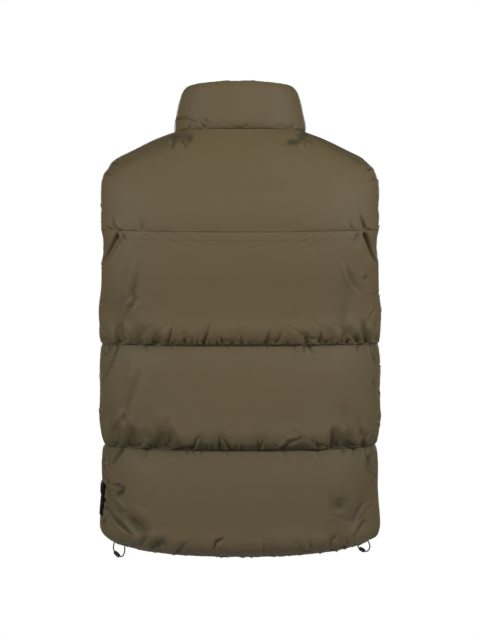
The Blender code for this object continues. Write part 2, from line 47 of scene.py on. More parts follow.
# ---- Sections. Level 0 is the hem, 1 to 3 the quilting seams, 4 the ring through the shoulder ends and 5 the neck seam.
COLUMNS = ("level", "half_width", "back", "front", "z_back", "z_side", "z_front", "square", "dip")
BODY = (
    (0.00, 0.2165, 0.1110, 0.1130, -0.6970, -0.6805, -0.6880, 2.60, 2.0),
    (0.15, 0.2200, 0.1140, 0.1180, -0.6690, -0.6550, -0.6610, 2.60, 2.0),
    (0.50, 0.2165, 0.1150, 0.1220, -0.6070, -0.5990, -0.6020, 2.60, 2.0),
    (1.00, 0.2265, 0.1170, 0.1225, -0.5230, -0.5200, -0.5200, 2.60, 2.0),
    (1.22, 0.2215, 0.1165, 0.1235, -0.4850, -0.4820, -0.4815, 2.60, 2.0),
    (1.50, 0.2210, 0.1165, 0.1250, -0.4370, -0.4340, -0.4330, 2.60, 2.0),
    (2.00, 0.2310, 0.1215, 0.1260, -0.3510, -0.3500, -0.3460, 2.60, 2.0),
    (2.20, 0.2245, 0.1205, 0.1250, -0.3130, -0.3110, -0.3070, 2.60, 2.0),
    (2.41, 0.2260, 0.1225, 0.1255, -0.2755, -0.2740, -0.2720, 2.60, 2.0),
    (2.70, 0.2325, 0.1265, 0.1240, -0.2220, -0.2170, -0.2230, 2.60, 2.0),
    (3.00, 0.2375, 0.1275, 0.1200, -0.1670, -0.1600, -0.1740, 2.50, 2.0),
    (3.50, 0.2372, 0.1230, 0.1100, -0.1220, -0.1080, -0.1390, 2.45, 1.9),
    (4.00, 0.2210, 0.1090, 0.0980, -0.0830, -0.0635, -0.1100, 2.40, 1.8),
    (4.50, 0.1670, 0.0920, 0.0860, -0.0350, -0.0315, -0.0840, 2.30, 1.7),
    (5.00, 0.1080, 0.0720, 0.0750, 0.0035, 0.0020, -0.0625, 2.20, 1.6),
)
COLLAR = (
    (0.00, 0.1070, 0.0725, 0.0750, 0.0068, 0.0062, -0.0587, 2.20, 1.6),
    (0.25, 0.1025, 0.0695, 0.0765, 0.0285, 0.0260, -0.0365, 2.20, 1.5),
    (0.60, 0.0970, 0.0640, 0.0775, 0.0575, 0.0520, -0.0050, 2.20, 1.4),
    (1.00, 0.0885, 0.0570, 0.0755, 0.0880, 0.0820, 0.0300, 2.20, 1.4),
)
ARMHOLE_BOTTOM, ARMHOLE_TOP, COLLAR_TOP = 2.41, 4.0, 1.0


def smooth(xs, ys, at):
    """The monotone cubic through the points (xs, ys), read at the values at."""
    xs, ys, at = np.asarray(xs, float), np.asarray(ys, float), np.asarray(at, float)
    run = np.diff(xs)
    slope = np.diff(ys) / run
    near, far = slope[:-1], slope[1:]
    same_way = near * far > 0
    a, b = 2 * run[1:] + run[:-1], run[1:] + 2 * run[:-1]
    safe_near, safe_far = np.where(same_way, near, 1), np.where(same_way, far, 1)
    tangent = np.concatenate([[slope[0]], np.where(same_way, (a + b) / (a / safe_near + b / safe_far), 0), [slope[-1]]])
    i = np.clip(np.searchsorted(xs, at, side="right") - 1, 0, len(run) - 1)
    t = (at - xs[i]) / run[i]
    return (
        (2 * t**3 - 3 * t**2 + 1) * ys[i]
        + (t**3 - 2 * t**2 + t) * run[i] * tangent[i]
        + (3 * t**2 - 2 * t**3) * ys[i + 1]
        + (t**3 - t**2) * run[i] * tangent[i + 1]
    )


def section(table, level):
    """Each named column of a table of sections, at a level."""
    columns = list(zip(*table))
    return {name: smooth(columns[0], columns[k], level) for k, name in enumerate(COLUMNS)}


def skin(table, angle, level):
    """A point of the middle of the wall. The angle is 0 at centre back, pi / 2 at the wearer's left side and pi at centre front."""
    s = section(table, level)
    across, along = np.sin(angle), np.cos(angle)
    behind = along >= 0
    power = 2 / s["square"]
    x = s["half_width"] * np.sign(across) * np.abs(across) ** power
    y = np.sign(along) * np.where(behind, s["back"], s["front"]) * np.abs(along) ** power
    z = s["z_side"] + (np.where(behind, s["z_back"], s["z_front"]) - s["z_side"]) * np.abs(along) ** s["dip"]
    return np.stack(np.broadcast_arrays(x, y, z), axis=-1)


def skin_normal(table, angle, level):
    """The outward direction there."""
    first, last = table[0][0], table[-1][0]
    around = skin(table, angle + 2e-3, level) - skin(table, angle - 2e-3, level)
    up = skin(table, angle, np.minimum(level + 2e-3, last)) - skin(table, angle, np.maximum(level - 2e-3, first))
    out = np.cross(up, around)
    return out / np.linalg.norm(out, axis=-1, keepdims=True)


def side_line(level, behind):
    """How far behind the side (+Y) a body piece ends: at the side seam, the armhole or the shoulder seam."""
    if level <= ARMHOLE_BOTTOM:
        return SIDE_SEAM_BACK * (1 - (level / ARMHOLE_BOTTOM) ** 2)
    if level >= ARMHOLE_TOP:
        return 0.0
    low, high, here = (float(section(BODY, k)["z_side"]) for k in (ARMHOLE_BOTTOM, ARMHOLE_TOP, level))
    share = (2 * here - low - high) / (high - low)
    return (ARMHOLE_BACK if behind else -ARMHOLE_FRONT) * math.sqrt(max(0.0, 1 - share * share))


def angles_on_ring(table, level, behind, stations, zip_gap):
    """The angles of the stations, 0 to 1, spaced evenly along the ring from centre back to the side, or from the zip to the side."""
    if table is COLLAR:
        fine = np.linspace(0, math.pi, 721)
    else:
        s = section(table, level)
        y = side_line(level, behind)
        share = min(abs(y) / float(s["back"] if y >= 0 else s["front"]), 1.0)
        edge = math.acos(math.copysign(share ** (float(s["square"]) / 2), y))
        fine = np.linspace(0, edge, 361) if behind else np.linspace(math.pi, edge, 361)
    ring = skin(table, fine, level)
    arc = np.concatenate([[0], np.cumsum(np.linalg.norm(np.diff(ring, axis=0), axis=1))])
    if table is COLLAR:
        start, end = 0.0, arc[-1] - zip_gap
    else:
        start, end = (0.0 if behind else zip_gap), arc[-1] - SEAM_GAP / 2
    return np.interp(start + (end - start) * np.asarray(stations, float), arc, fine)


def inside_seams(table, levels):
    """The levels, with the first and last moved half a seam's gap into the piece."""
    moved = np.array(levels, float)
    for end, way in ((0, 1), (-1, -1)):
        step = skin(table, 0.0, moved[end] + way * 1e-3) - skin(table, 0.0, moved[end])
        moved[end] += way * 1e-3 * (SEAM_GAP / 2 + 0.00004) / np.linalg.norm(step)
    return moved


def side_edges():
    """The wearer's left side seam, armhole and shoulder seam as lines of points, by the name of their pinch."""

    def line(levels, behind):
        return np.array([skin(BODY, angles_on_ring(BODY, level, behind, [1.0], ZIP_EDGE_X)[0], level) for level in levels])

    turn = (1 - np.cos(np.linspace(0, math.pi, 40))) / 2
    round_armhole = ARMHOLE_BOTTOM + (ARMHOLE_TOP - ARMHOLE_BOTTOM) * turn
    armhole = np.concatenate([line(round_armhole, True), line(round_armhole, False)[::-1]])
    return {
        "side": line(np.linspace(0, ARMHOLE_BOTTOM, 24), True),
        "armhole": armhole,
        "shoulder": line(np.linspace(ARMHOLE_TOP, 5, 12), True),
    }


def distance_to(points, line):
    """The distance of each point from a line of straight pieces."""
    start, step = line[:-1], np.diff(line, axis=0)
    flat = points.reshape(-1, 1, 3)
    along = np.clip(((flat - start) * step).sum(axis=2) / np.maximum((step**2).sum(axis=1), 1e-12), 0, 1)
    return np.linalg.norm(flat - start - along[..., None] * step, axis=2).min(axis=1).reshape(points.shape[:-1])


def centre_front():
    """The centre-front line from the hem to the collar's top: points, directions up it and outward directions."""
    body = skin(BODY, np.full(41, math.pi), np.linspace(0.002, 5, 41))
    stand = skin(COLLAR, np.full(11, math.pi), np.linspace(0.02, COLLAR_TOP, 11))
    line = np.concatenate([body, stand])
    line[:, 0] = 0
    along = np.gradient(line, axis=0)
    along /= np.linalg.norm(along, axis=1, keepdims=True)
    out = np.cross(along, [1.0, 0.0, 0.0])
    out *= np.sign(-out[:, 1:2])
    return line, along, out


# The cord loops, as a viewer behind the vest sees them: (x, depth +Y, z). The wearer's left and right loops differ as worn.
LOOPS = {
    "left": {
        "route": ((0.2110, 0.0420, -0.6835), (0.2122, 0.0430, -0.6900), (0.2116, 0.0446, -0.6955), (0.2098, 0.0462, -0.6990), (0.2060, 0.0487, -0.7021), (0.2022, 0.0512, -0.7052), (0.1975, 0.0550, -0.7050), (0.1938, 0.0595, -0.7005), (0.1920, 0.0635, -0.6935), (0.1922, 0.0650, -0.6870)),
        "lock": (0.2060, 0.0487, -0.7021),
        "along": (-0.0076, 0.0050, -0.0062),
    },
    "right": {
        "route": ((-0.2165, 0.0270, -0.6835), (-0.2188, 0.0290, -0.6900), (-0.2175, 0.0335, -0.6955), (-0.2135, 0.0390, -0.6985), (-0.2085, 0.0437, -0.6975), (-0.2043, 0.0474, -0.6947), (-0.2001, 0.0511, -0.6919), (-0.1975, 0.0548, -0.6892), (-0.1970, 0.0585, -0.6868)),
        "lock": (-0.2043, 0.0474, -0.6947),
        "along": (0.0084, 0.0074, 0.0056),
    },
}


def through(points, count):
    """A smooth line through the points (centripetal, so it has no loops), evenly spaced."""
    p = np.array(points, float)
    p = np.concatenate([[2 * p[0] - p[1]], p, [2 * p[-1] - p[-2]]])
    knots = np.concatenate([[0], np.cumsum(np.linalg.norm(np.diff(p, axis=0), axis=1) ** 0.5)])
    fine = []
    for i in range(1, len(p) - 2):
        t0, t1, t2, t3 = knots[i - 1 : i + 3]
        for t in np.linspace(t1, t2, 16, endpoint=False):
            a1 = (t1 - t) / (t1 - t0) * p[i - 1] + (t - t0) / (t1 - t0) * p[i]
            a2 = (t2 - t) / (t2 - t1) * p[i] + (t - t1) / (t2 - t1) * p[i + 1]
            a3 = (t3 - t) / (t3 - t2) * p[i + 1] + (t - t2) / (t3 - t2) * p[i + 2]
            b1 = (t2 - t) / (t2 - t0) * a1 + (t - t0) / (t2 - t0) * a2
            b2 = (t3 - t) / (t3 - t1) * a2 + (t - t1) / (t3 - t1) * a3
            fine.append((t2 - t) / (t2 - t1) * b1 + (t - t1) / (t2 - t1) * b2)
    fine = np.array(fine + [p[-2]])
    arc = np.concatenate([[0], np.cumsum(np.linalg.norm(np.diff(fine, axis=0), axis=1))])
    even = np.linspace(0, arc[-1], count)
    return np.stack([np.interp(even, arc, fine[:, k]) for k in range(3)], axis=1), arc[-1]


# ======================================================================= frame
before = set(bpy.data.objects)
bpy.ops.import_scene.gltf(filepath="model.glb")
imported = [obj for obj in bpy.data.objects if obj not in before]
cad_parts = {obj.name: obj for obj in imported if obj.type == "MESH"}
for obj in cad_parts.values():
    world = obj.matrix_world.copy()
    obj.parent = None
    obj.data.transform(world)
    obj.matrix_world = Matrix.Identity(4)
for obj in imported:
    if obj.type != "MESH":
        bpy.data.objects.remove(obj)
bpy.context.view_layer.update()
EYE = Vector((0.0, 3.0, -0.285))
PX = 0.0017  # metres to a picture element at the plane through the origin
RNG = np.random.default_rng(20417)


def seen(points):
    """Where points fall in the 480 x 640 picture, as (across, down)."""
    share = (EYE.y - points[..., 1]) / EYE.y
    return np.stack([240 - points[..., 0] / share / PX, 305 - (points[..., 2] - EYE.z) / share / PX], axis=-1)


# ====================================================================== camera
camera = bpy.data.objects.new("camera", bpy.data.cameras.new("camera"))
bpy.context.scene.collection.objects.link(camera)
camera.data.sensor_width = 36
camera.data.lens = 36 * EYE.y / (640 * PX)
camera.location = EYE
camera.rotation_euler = (math.radians(90) - math.atan(15 * PX / EYE.y), 0, math.pi)
camera.data.clip_start, camera.data.clip_end = 0.05, 60
bpy.context.scene.camera = camera


# =================================================================== node help
def nodes_of(material):
    tree = material.node_tree
    return tree, tree.nodes, tree.links


def new_material(name):
    material = bpy.data.materials.new(name)
    material.use_nodes = True
    return material


def add(tree, kind, **inputs):
    """A node, with its inputs set or linked by name or number."""
    node = tree.nodes.new(kind)
    for key, value in inputs.items():
        if key.startswith("_"):
            setattr(node, key[1:], value)
            continue
        socket = node.inputs[int(key[1:])] if key[0] == "i" and key[1:].isdigit() else node.inputs[key.replace("_", " ")]
        if isinstance(value, bpy.types.NodeSocket):
            tree.links.new(value, socket)
        else:
            socket.default_value = value
    return node


def math_node(tree, operation, a, b=0.0, clamp=False):
    node = tree.nodes.new("ShaderNodeMath")
    node.operation, node.use_clamp = operation, clamp
    for k, value in enumerate((a, b)):
        if isinstance(value, bpy.types.NodeSocket):
            tree.links.new(value, node.inputs[k])
        else:
            node.inputs[k].default_value = value
    return node.outputs[0]


def mix_colour(tree, share, a, b):
    node = tree.nodes.new("ShaderNodeMix")
    node.data_type = "RGBA"
    for key, value in ((0, share), (6, a), (7, b)):
        if isinstance(value, bpy.types.NodeSocket):
            tree.links.new(value, node.inputs[key])
        else:
            node.inputs[key].default_value = value
    return node.outputs[2]


def noise(tree, vector, scale, detail=3.0, rough=0.5, kind=None):
    node = tree.nodes.new("ShaderNodeTexNoise")
    if kind:
        node.noise_type = kind
    tree.links.new(vector, node.inputs["Vector"])
    node.inputs["Scale"].default_value = scale
    node.inputs["Detail"].default_value = detail
    node.inputs["Roughness"].default_value = rough
    return node.outputs["Fac"]


def weave(tree, uv, pitch):
    """Height of a plain weave of that pitch, from coordinates in metres."""
    split = tree.nodes.new("ShaderNodeSeparateXYZ")
    tree.links.new(uv, split.inputs[0])
    turns = 2 * math.pi / pitch
    a = math_node(tree, "SINE", math_node(tree, "MULTIPLY", split.outputs[0], turns))
    b = math_node(tree, "SINE", math_node(tree, "MULTIPLY", split.outputs[1], turns))
    return math_node(tree, "MULTIPLY", math_node(tree, "MULTIPLY", a, b), 0.5)


def bump(tree, height, strength, distance, normal=None):
    node = tree.nodes.new("ShaderNodeBump")
    node.inputs["Strength"].default_value = strength
    node.inputs["Distance"].default_value = distance
    tree.links.new(height, node.inputs["Height"])
    if normal is not None:
        tree.links.new(normal, node.inputs["Normal"])
    return node.outputs["Normal"]


# ================================================================== mesh help
def unit(v):
    return v / np.maximum(np.linalg.norm(v, axis=-1, keepdims=True), 1e-12)


def filled_mesh(name, points, faces, uv=None, smooth=True):
    """A mesh from arrays: faces is a list of arrays, each with its own number of corners."""
    mesh = bpy.data.meshes.new(name)
    counts = np.concatenate([np.full(len(f), f.shape[1]) for f in faces])
    corners = np.concatenate([f.reshape(-1) for f in faces]).astype(np.int32)
    mesh.vertices.add(len(points))
    mesh.vertices.foreach_set("co", np.ascontiguousarray(points, np.float32).ravel())
    mesh.loops.add(len(corners))
    mesh.loops.foreach_set("vertex_index", corners)
    mesh.polygons.add(len(counts))
    mesh.polygons.foreach_set("loop_start", np.concatenate([[0], np.cumsum(counts)[:-1]]).astype(np.int32))
    if uv is not None:
        layer = mesh.uv_layers.new(name="cloth")
        layer.data.foreach_set("uv", np.ascontiguousarray(uv[corners], np.float32).ravel())
    mesh.update(calc_edges=True)
    mesh.validate()
    if smooth:
        mesh.shade_smooth()
    return mesh


def fix_winding(mesh):
    """Faces all outwards."""
    work = bmesh.new()
    work.from_mesh(mesh)
    bmesh.ops.recalc_face_normals(work, faces=work.faces)
    if work.calc_volume(signed=True) < 0:
        bmesh.ops.reverse_faces(work, faces=work.faces)
    work.to_mesh(mesh)
    work.free()


# =================================================================== materials
def shell_material():
    """Matte down-proof nylon: a fine plain weave, faint crinkle, slightly uneven dye and painted shade in its folds."""
    material = new_material("olive_shell_cloth")
    tree, _, links = nodes_of(material)
    shader = tree.nodes["Principled BSDF"]
    uv = add(tree, "ShaderNodeUVMap", _uv_map="cloth").outputs[0]
    where = add(tree, "ShaderNodeTexCoord").outputs["Object"]
    dye = noise(tree, where, 5.0, 3.0, 0.55)
    fine = noise(tree, where, 90.0, 3.0, 0.6)
    base = mix_colour(tree, dye, (0.1200, 0.0890, 0.0445, 1), (0.1350, 0.1010, 0.0515, 1))
    # The pinch attribute is painted shade: it darkens the cloth towards a deep olive in its folds, creases and
    # undersides, where shade falls.
    pinch = add(tree, "ShaderNodeAttribute", _attribute_name="pinch").outputs["Fac"]
    painted_shade = math_node(tree, "MULTIPLY", pinch, 0.85)
    base = mix_colour(tree, painted_shade, base, (0.0425, 0.0372, 0.0165, 1))
    grain = math_node(tree, "MULTIPLY", fine, 0.22)
    base = mix_colour(tree, grain, base, (0.1500, 0.1150, 0.0610, 1))
    links.new(base, shader.inputs["Base Color"])
    threads = weave(tree, uv, 0.00042)
    crinkle = noise(tree, where, 62.0, 4.0, 0.55, "RIDGED_MULTIFRACTAL")
    surface = bump(tree, crinkle, 0.16, 0.0012)
    surface = bump(tree, threads, 0.20, 0.00006, surface)
    links.new(surface, shader.inputs["Normal"])
    rough = math_node(tree, "MULTIPLY_ADD", fine, 0.10)
    rough.node.inputs[2].default_value = 0.56
    links.new(rough, shader.inputs["Roughness"])
    shader.inputs["Specular IOR Level"].default_value = 0.24
    shader.inputs["Sheen Weight"].default_value = 0.03
    shader.inputs["Sheen Roughness"].default_value = 0.45
    shader.inputs["Sheen Tint"].default_value = (0.9, 0.8, 0.62, 1)
    return material


SHELL = shell_material()


# ================================================================ small materials
def plain_material(name, colour, rough, metallic=0.0, specular=0.5):
    material = new_material(name)
    shader = material.node_tree.nodes["Principled BSDF"]
    shader.inputs["Base Color"].default_value = colour
    shader.inputs["Roughness"].default_value = rough
    shader.inputs["Metallic"].default_value = metallic
    shader.inputs["Specular IOR Level"].default_value = specular
    return material


def mottled(name, dark, light, scale, rough, rough_spread, metallic=0.0, bumps=(), specular=0.5):
    """A finish whose colour wanders between two, with a little relief: bumps are (scale, strength, distance)."""
    material = plain_material(name, light, rough, metallic, specular)
    tree, _, links = nodes_of(material)
    shader = tree.nodes["Principled BSDF"]
    where = add(tree, "ShaderNodeTexCoord").outputs["Object"]
    wander = noise(tree, where, scale, 4.0, 0.6)
    links.new(mix_colour(tree, wander, dark, light), shader.inputs["Base Color"])
    uneven = math_node(tree, "MULTIPLY_ADD", wander, rough_spread)
    uneven.node.inputs[2].default_value = rough - rough_spread / 2
    links.new(uneven, shader.inputs["Roughness"])
    surface = None
    for size, strength, distance in bumps:
        surface = bump(tree, noise(tree, where, size, 3.0, 0.6), strength, distance, surface)
    if surface is not None:
        links.new(surface, shader.inputs["Normal"])
    return material


def woven(name, dark, light, rough, along, across, depth, slant=0.0, specular=0.3):
    """Yarns crossing at the given pitches, in metres, on a piece with coordinates in metres. Slant turns them into a twill or braid."""
    material = plain_material(name, light, rough, 0.0, specular)
    tree, _, links = nodes_of(material)
    shader = tree.nodes["Principled BSDF"]
    uv = add(tree, "ShaderNodeUVMap", _uv_map="cloth").outputs[0]
    split = add(tree, "ShaderNodeSeparateXYZ", i0=uv)
    u = math_node(tree, "MULTIPLY", split.outputs[0], 2 * math.pi / across)
    v = math_node(tree, "MULTIPLY", split.outputs[1], 2 * math.pi / along)
    a = math_node(tree, "SINE", math_node(tree, "ADD", u, math_node(tree, "MULTIPLY", v, slant)) if slant else u)
    b = math_node(tree, "SINE", math_node(tree, "SUBTRACT", v, math_node(tree, "MULTIPLY", u, slant)) if slant else v)
    yarns = math_node(tree, "MULTIPLY", a, b)
    lift = math_node(tree, "MULTIPLY_ADD", yarns, 0.5)
    lift.node.inputs[2].default_value = 0.5
    where = add(tree, "ShaderNodeTexCoord").outputs["Object"]
    fuzz = noise(tree, where, 900.0, 3.0, 0.7)
    # The yarns are lighter on their crowns and darker where they dip: painted shade in the hollows of the weave, with
    # random fuzz tone added.
    tone = math_node(tree, "MULTIPLY", math_node(tree, "ADD", lift, fuzz), 0.5)
    links.new(mix_colour(tree, tone, dark, light), shader.inputs["Base Color"])
    surface = bump(tree, lift, 0.6, depth)
    links.new(bump(tree, fuzz, 0.25, depth * 0.6, surface), shader.inputs["Normal"])
    return material


TAPE_CLOTH = woven("olive_woven_tape", (0.060, 0.046, 0.025, 1), (0.120, 0.094, 0.052, 1), 0.85, 0.0009, 0.0011, 0.00018, 0.5)
BRAID = woven("grey_braided_elastic", (0.022, 0.022, 0.024, 1), (0.105, 0.103, 0.102, 1), 0.82, 0.0016, 0.00138, 0.00022, 1.0)
TEETH = mottled("olive_moulded_teeth", (0.052, 0.041, 0.024, 1), (0.066, 0.053, 0.031, 1), 60.0, 0.42, 0.10, 0.0, ((900.0, 0.10, 0.00005),))
METAL = mottled("dark_plated_metal", (0.045, 0.043, 0.040, 1), (0.075, 0.071, 0.066, 1), 140.0, 0.34, 0.16, 0.9, ((1500.0, 0.08, 0.00004), (260.0, 0.06, 0.0001)))
PLASTIC = mottled("black_moulded_plastic", (0.006, 0.006, 0.006, 1), (0.012, 0.012, 0.012, 1), 220.0, 0.40, 0.12, 0.0, ((1100.0, 0.15, 0.00006),))
BADGE = woven("black_badge_cloth", (0.0022, 0.0022, 0.0022, 1), (0.0085, 0.0084, 0.0082, 1), 0.82, 0.0007, 0.0007, 0.00012, 0.0, 0.1)
BADGE_EDGE = woven("black_badge_edge", (0.003, 0.003, 0.0032, 1), (0.016, 0.016, 0.0165, 1), 0.62, 0.0008, 0.004, 0.00025, 0.0, 0.3)
THREAD = mottled("olive_thread", (0.070, 0.053, 0.028, 1), (0.098, 0.076, 0.041, 1), 700.0, 0.68, 0.14, 0.0, ((2600.0, 0.4, 0.00006),), 0.3)


# ==================================================================== small shapes
def object_from(name, data, material, body, slot, *nodes):
    """Links a piece, gives it its finish, lets it ride and hides the CAD nodes that it stands for."""
    obj = bpy.data.objects.new(name, data)
    bpy.context.scene.collection.objects.link(obj)
    if material is not None:
        data.materials.append(material)
    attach(obj, body)
    if nodes:
        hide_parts(*nodes)
    return obj


def swept(points, profile, first_side, caps=True):
    """A profile of (aside, out) offsets carried along points without twisting. Returns points, faces and coordinates in metres."""
    points = np.asarray(points, float)
    along = np.gradient(points, axis=0)
    along /= np.linalg.norm(along, axis=1, keepdims=True)
    side = np.array(first_side, float)
    rings = []
    for p, t in zip(points, along):
        side = side - t * (side @ t)
        side /= np.linalg.norm(side)
        out = np.cross(t, side)
        rings.append(p + profile[:, :1] * side + profile[:, 1:] * out)
    n, k = len(points), len(profile)
    verts = np.concatenate(rings)
    index = np.arange(n * k).reshape(n, k)
    closed = np.concatenate([index, index[:, :1]], axis=1)
    quads = np.stack([closed[:-1, :-1], closed[:-1, 1:], closed[1:, 1:], closed[1:, :-1]], axis=-1).reshape(-1, 4)
    run = np.concatenate([[0], np.cumsum(np.linalg.norm(np.diff(points, axis=0), axis=1))])
    round_it = np.concatenate([[0], np.cumsum(np.linalg.norm(np.diff(profile, axis=0), axis=1))])
    uv = np.stack(np.broadcast_arrays(round_it[None, :], run[:, None]), axis=-1).reshape(-1, 2)
    if caps:
        verts = np.concatenate([verts, points[:1], points[-1:]])
        uv = np.concatenate([uv, [(0, 0)], [(0, run[-1])]])
        a, b = n * k, n * k + 1
        fans = [(a, i, (i + 1) % k) for i in range(k)] + [(b, (n - 1) * k + (i + 1) % k, (n - 1) * k + i) for i in range(k)]
        return verts, [quads, np.array(fans)], uv
    return verts, [quads], uv


def circle(radius, sides):
    turn = np.arange(sides) * 2 * math.pi / sides
    return np.stack([radius * np.cos(turn), radius * np.sin(turn)], axis=1)


def turned(profile, centre, axis, sides=40):
    """A closed profile of (radius, height) points turned about an axis through centre."""
    axis = Vector(axis).normalized()
    frame_of = Matrix.Translation(centre) @ axis.to_track_quat("Z", "Y").to_matrix().to_4x4()
    k = len(profile)
    turn = np.arange(sides) * 2 * math.pi / sides
    local = np.array([[(r * math.cos(t), r * math.sin(t), h) for r, h in profile] for t in turn]).reshape(-1, 3)
    m = np.array(frame_of)
    verts = local @ m[:3, :3].T + m[:3, 3]
    index = np.arange(sides * k).reshape(sides, k)
    a, b = index, np.roll(index, -1, axis=0)
    quads = np.stack([a, b, np.roll(b, -1, axis=1), np.roll(a, -1, axis=1)], axis=-1).reshape(-1, 4)
    return verts, [quads], None


def flat_shape(name, outlines, thick, soft, place):
    """A flat plate from closed outlines, the first its edge and the rest its holes, with rounded edges, moved by a matrix."""
    curve = bpy.data.curves.new(name, "CURVE")
    curve.dimensions, curve.fill_mode = "2D", "BOTH"
    curve.extrude, curve.bevel_depth, curve.bevel_resolution, curve.offset = thick / 2 - soft, soft, 2, -soft
    for outline in outlines:
        spline = curve.splines.new("POLY")
        spline.points.add(len(outline) - 1)
        for point, (x, y) in zip(spline.points, outline):
            point.co = (x, y, 0, 1)
        spline.use_cyclic_u = True
    tool = bpy.data.objects.new(name + "_outline", curve)
    bpy.context.scene.collection.objects.link(tool)
    made = bpy.data.meshes.new_from_object(tool.evaluated_get(bpy.context.evaluated_depsgraph_get()))
    bpy.data.objects.remove(tool)
    bpy.data.curves.remove(curve)
    made.transform(place)
    return made


def rounded_outline(corners, radius, steps=5):
    """A polygon with rounded corners. Radius is one number, or one for each corner."""
    out = []
    count = len(corners)
    radii = radius if hasattr(radius, "__len__") else [radius] * count
    for k in range(count):
        p = np.array(corners[k], float)
        a, b = np.array(corners[k - 1], float) - p, np.array(corners[(k + 1) % count], float) - p
        a, b = a / np.linalg.norm(a), b / np.linalg.norm(b)
        half = math.acos(max(-1, min(1, float(a @ b)))) / 2
        cut = radii[k] / math.tan(half)
        middle = p + (a + b) / np.linalg.norm(a + b) * radii[k] / math.sin(half)
        start, end = p + a * cut - middle, p + b * cut - middle
        for s in np.linspace(0, 1, steps):
            d = start * (1 - s) + end * s
            out.append(tuple(middle + d / np.linalg.norm(d) * radii[k]))
    return out


def block(name, low, high, soft, place, segments=2):
    """A box with rounded edges, moved by a matrix."""
    work = bmesh.new()
    low, high = Vector(low), Vector(high)
    bmesh.ops.create_cube(work, size=1, matrix=Matrix.Translation((low + high) / 2) @ Matrix.Diagonal((*(high - low), 1)))
    bmesh.ops.bevel(work, geom=work.edges[:], offset=soft, segments=segments, affect="EDGES", profile=0.5)
    work.transform(place)
    mesh = bpy.data.meshes.new(name)
    work.to_mesh(mesh)
    work.free()
    return mesh


def together(name, meshes, material, body, slot, *nodes, smooth_angle=40):
    """One object from several meshes."""
    work = bmesh.new()
    for mesh in meshes:
        work.from_mesh(mesh)
    bmesh.ops.recalc_face_normals(work, faces=work.faces)
    data = bpy.data.meshes.new(name)
    work.to_mesh(data)
    work.free()
    for mesh in meshes:
        bpy.data.meshes.remove(mesh)
    data.shade_smooth()
    data.set_sharp_from_angle(angle=math.radians(smooth_angle))
    return object_from(name, data, material, body, slot, *nodes)


# ========================================================== hem cords and their locks
for word, loop in LOOPS.items():
    route, cord_length = through(loop["route"], 37)
    verts, faces, uv = swept(route, circle(CORD_DIAMETER / 2, 14), (0.3, 1.0, 0.2))
    cord = object_from(f"braided_cord_{word}", filled_mesh(f"braided_cord_{word}", verts, faces, uv), BRAID, "vest", "grey_cord", f"hem_cord_{word}")
    fix_winding(cord.data)
    half = LOCK_LENGTH / 2
    profile = [(LOCK_BORE, half - 0.0003), (LOCK_BORE + 0.0003, half), (0.66 * LOCK_RADIUS, half), (0.80 * LOCK_RADIUS, half - 0.0003), (0.88 * LOCK_RADIUS, half - 0.0010)]
    for k in range(5):  # shallow grip rings
        z = half - 0.0020 - k * 0.00195
        swell = LOCK_RADIUS * (1 - 0.07 * abs(k - 2) / 2)
        profile += [(swell - 0.00040, z + 0.0007), (swell, z + 0.0004), (swell, z - 0.0004), (swell - 0.00040, z - 0.0007)]
    profile += [(0.88 * LOCK_RADIUS, -half + 0.0010), (0.80 * LOCK_RADIUS, -half + 0.0003), (0.66 * LOCK_RADIUS, -half), (LOCK_BORE + 0.0003, -half), (LOCK_BORE, -half + 0.0003)]
    verts, faces, _ = turned(profile, loop["lock"], loop["along"])
    lock = object_from(f"barrel_lock_{word}", filled_mesh(f"barrel_lock_{word}", verts, faces), PLASTIC, "vest", "black_plastic", f"cord_lock_{word}")
    fix_winding(lock.data)
    lock.data.set_sharp_from_angle(angle=math.radians(35))


# ============================================================================= zip
front_line, front_up, front_out = centre_front()
front_run = np.concatenate([[0], np.cumsum(np.linalg.norm(np.diff(front_line, axis=0), axis=1))])


def on_zip(distance):
    """Point, direction up and outward direction at a distance up the centre front from the hem."""
    p, t, n = (np.stack([np.interp(distance, front_run, a[:, k]) for k in range(3)], axis=-1) for a in (front_line, front_up, front_out))
    return p, unit(t), unit(n)


def zip_frame(distance):
    """X across, Y up the zip, Z outward."""
    p, t, n = on_zip(distance)
    m = Matrix.Identity(4)
    z = np.cross((1.0, 0, 0), t)
    z = z * np.sign(z @ n)
    x = np.cross(t, z)
    for k, axis in enumerate((x, t, z, p)):
        for r in range(3):
            m[r][k] = axis[r]
    return m


SLIDER_AT = front_run[-1] - 0.012
CHAIN_BACK = TAPE_THICK / 2 + SEAM_GAP
where_up = np.linspace(0, front_run[-1], 150)
middle_line, _, _ = on_zip(where_up)
for side, word in ((1, "left"), (-1, "right")):
    tape_to = TAPE_TO_X + 0.0030  # sewn in under the edge of the front
    half_w, half_t = (tape_to - TAPE_FROM_X) / 2, TAPE_THICK / 2
    # Woven tape: a beaded inner edge, a thin selvedge and a faint rib for the sewing.
    offsets = [(-half_w, -0.6), (-half_w + 0.0004, -1.0), (-half_w + 0.0013, -0.70), (0, -0.55), (half_w - 0.0012, -0.62), (half_w - 0.0003, -0.55), (half_w, 0.0), (half_w - 0.0003, 0.55), (half_w - 0.0012, 0.62), (0, 0.55), (-half_w + 0.0013, 0.70), (-half_w + 0.0004, 1.0), (-half_w, 0.6)]
    profile = np.array([(x, t * half_t) for x, t in offsets])
    centre = middle_line + np.array((side * (TAPE_FROM_X + tape_to) / 2, 0, 0))
    verts, faces, uv = swept(centre, profile, (side, 0, 0))
    tape = object_from(f"woven_tape_{word}", filled_mesh(f"woven_tape_{word}", verts, faces, uv), TAPE_CLOTH, "vest", "olive_tape", f"zip_tape_{word}")
    fix_winding(tape.data)

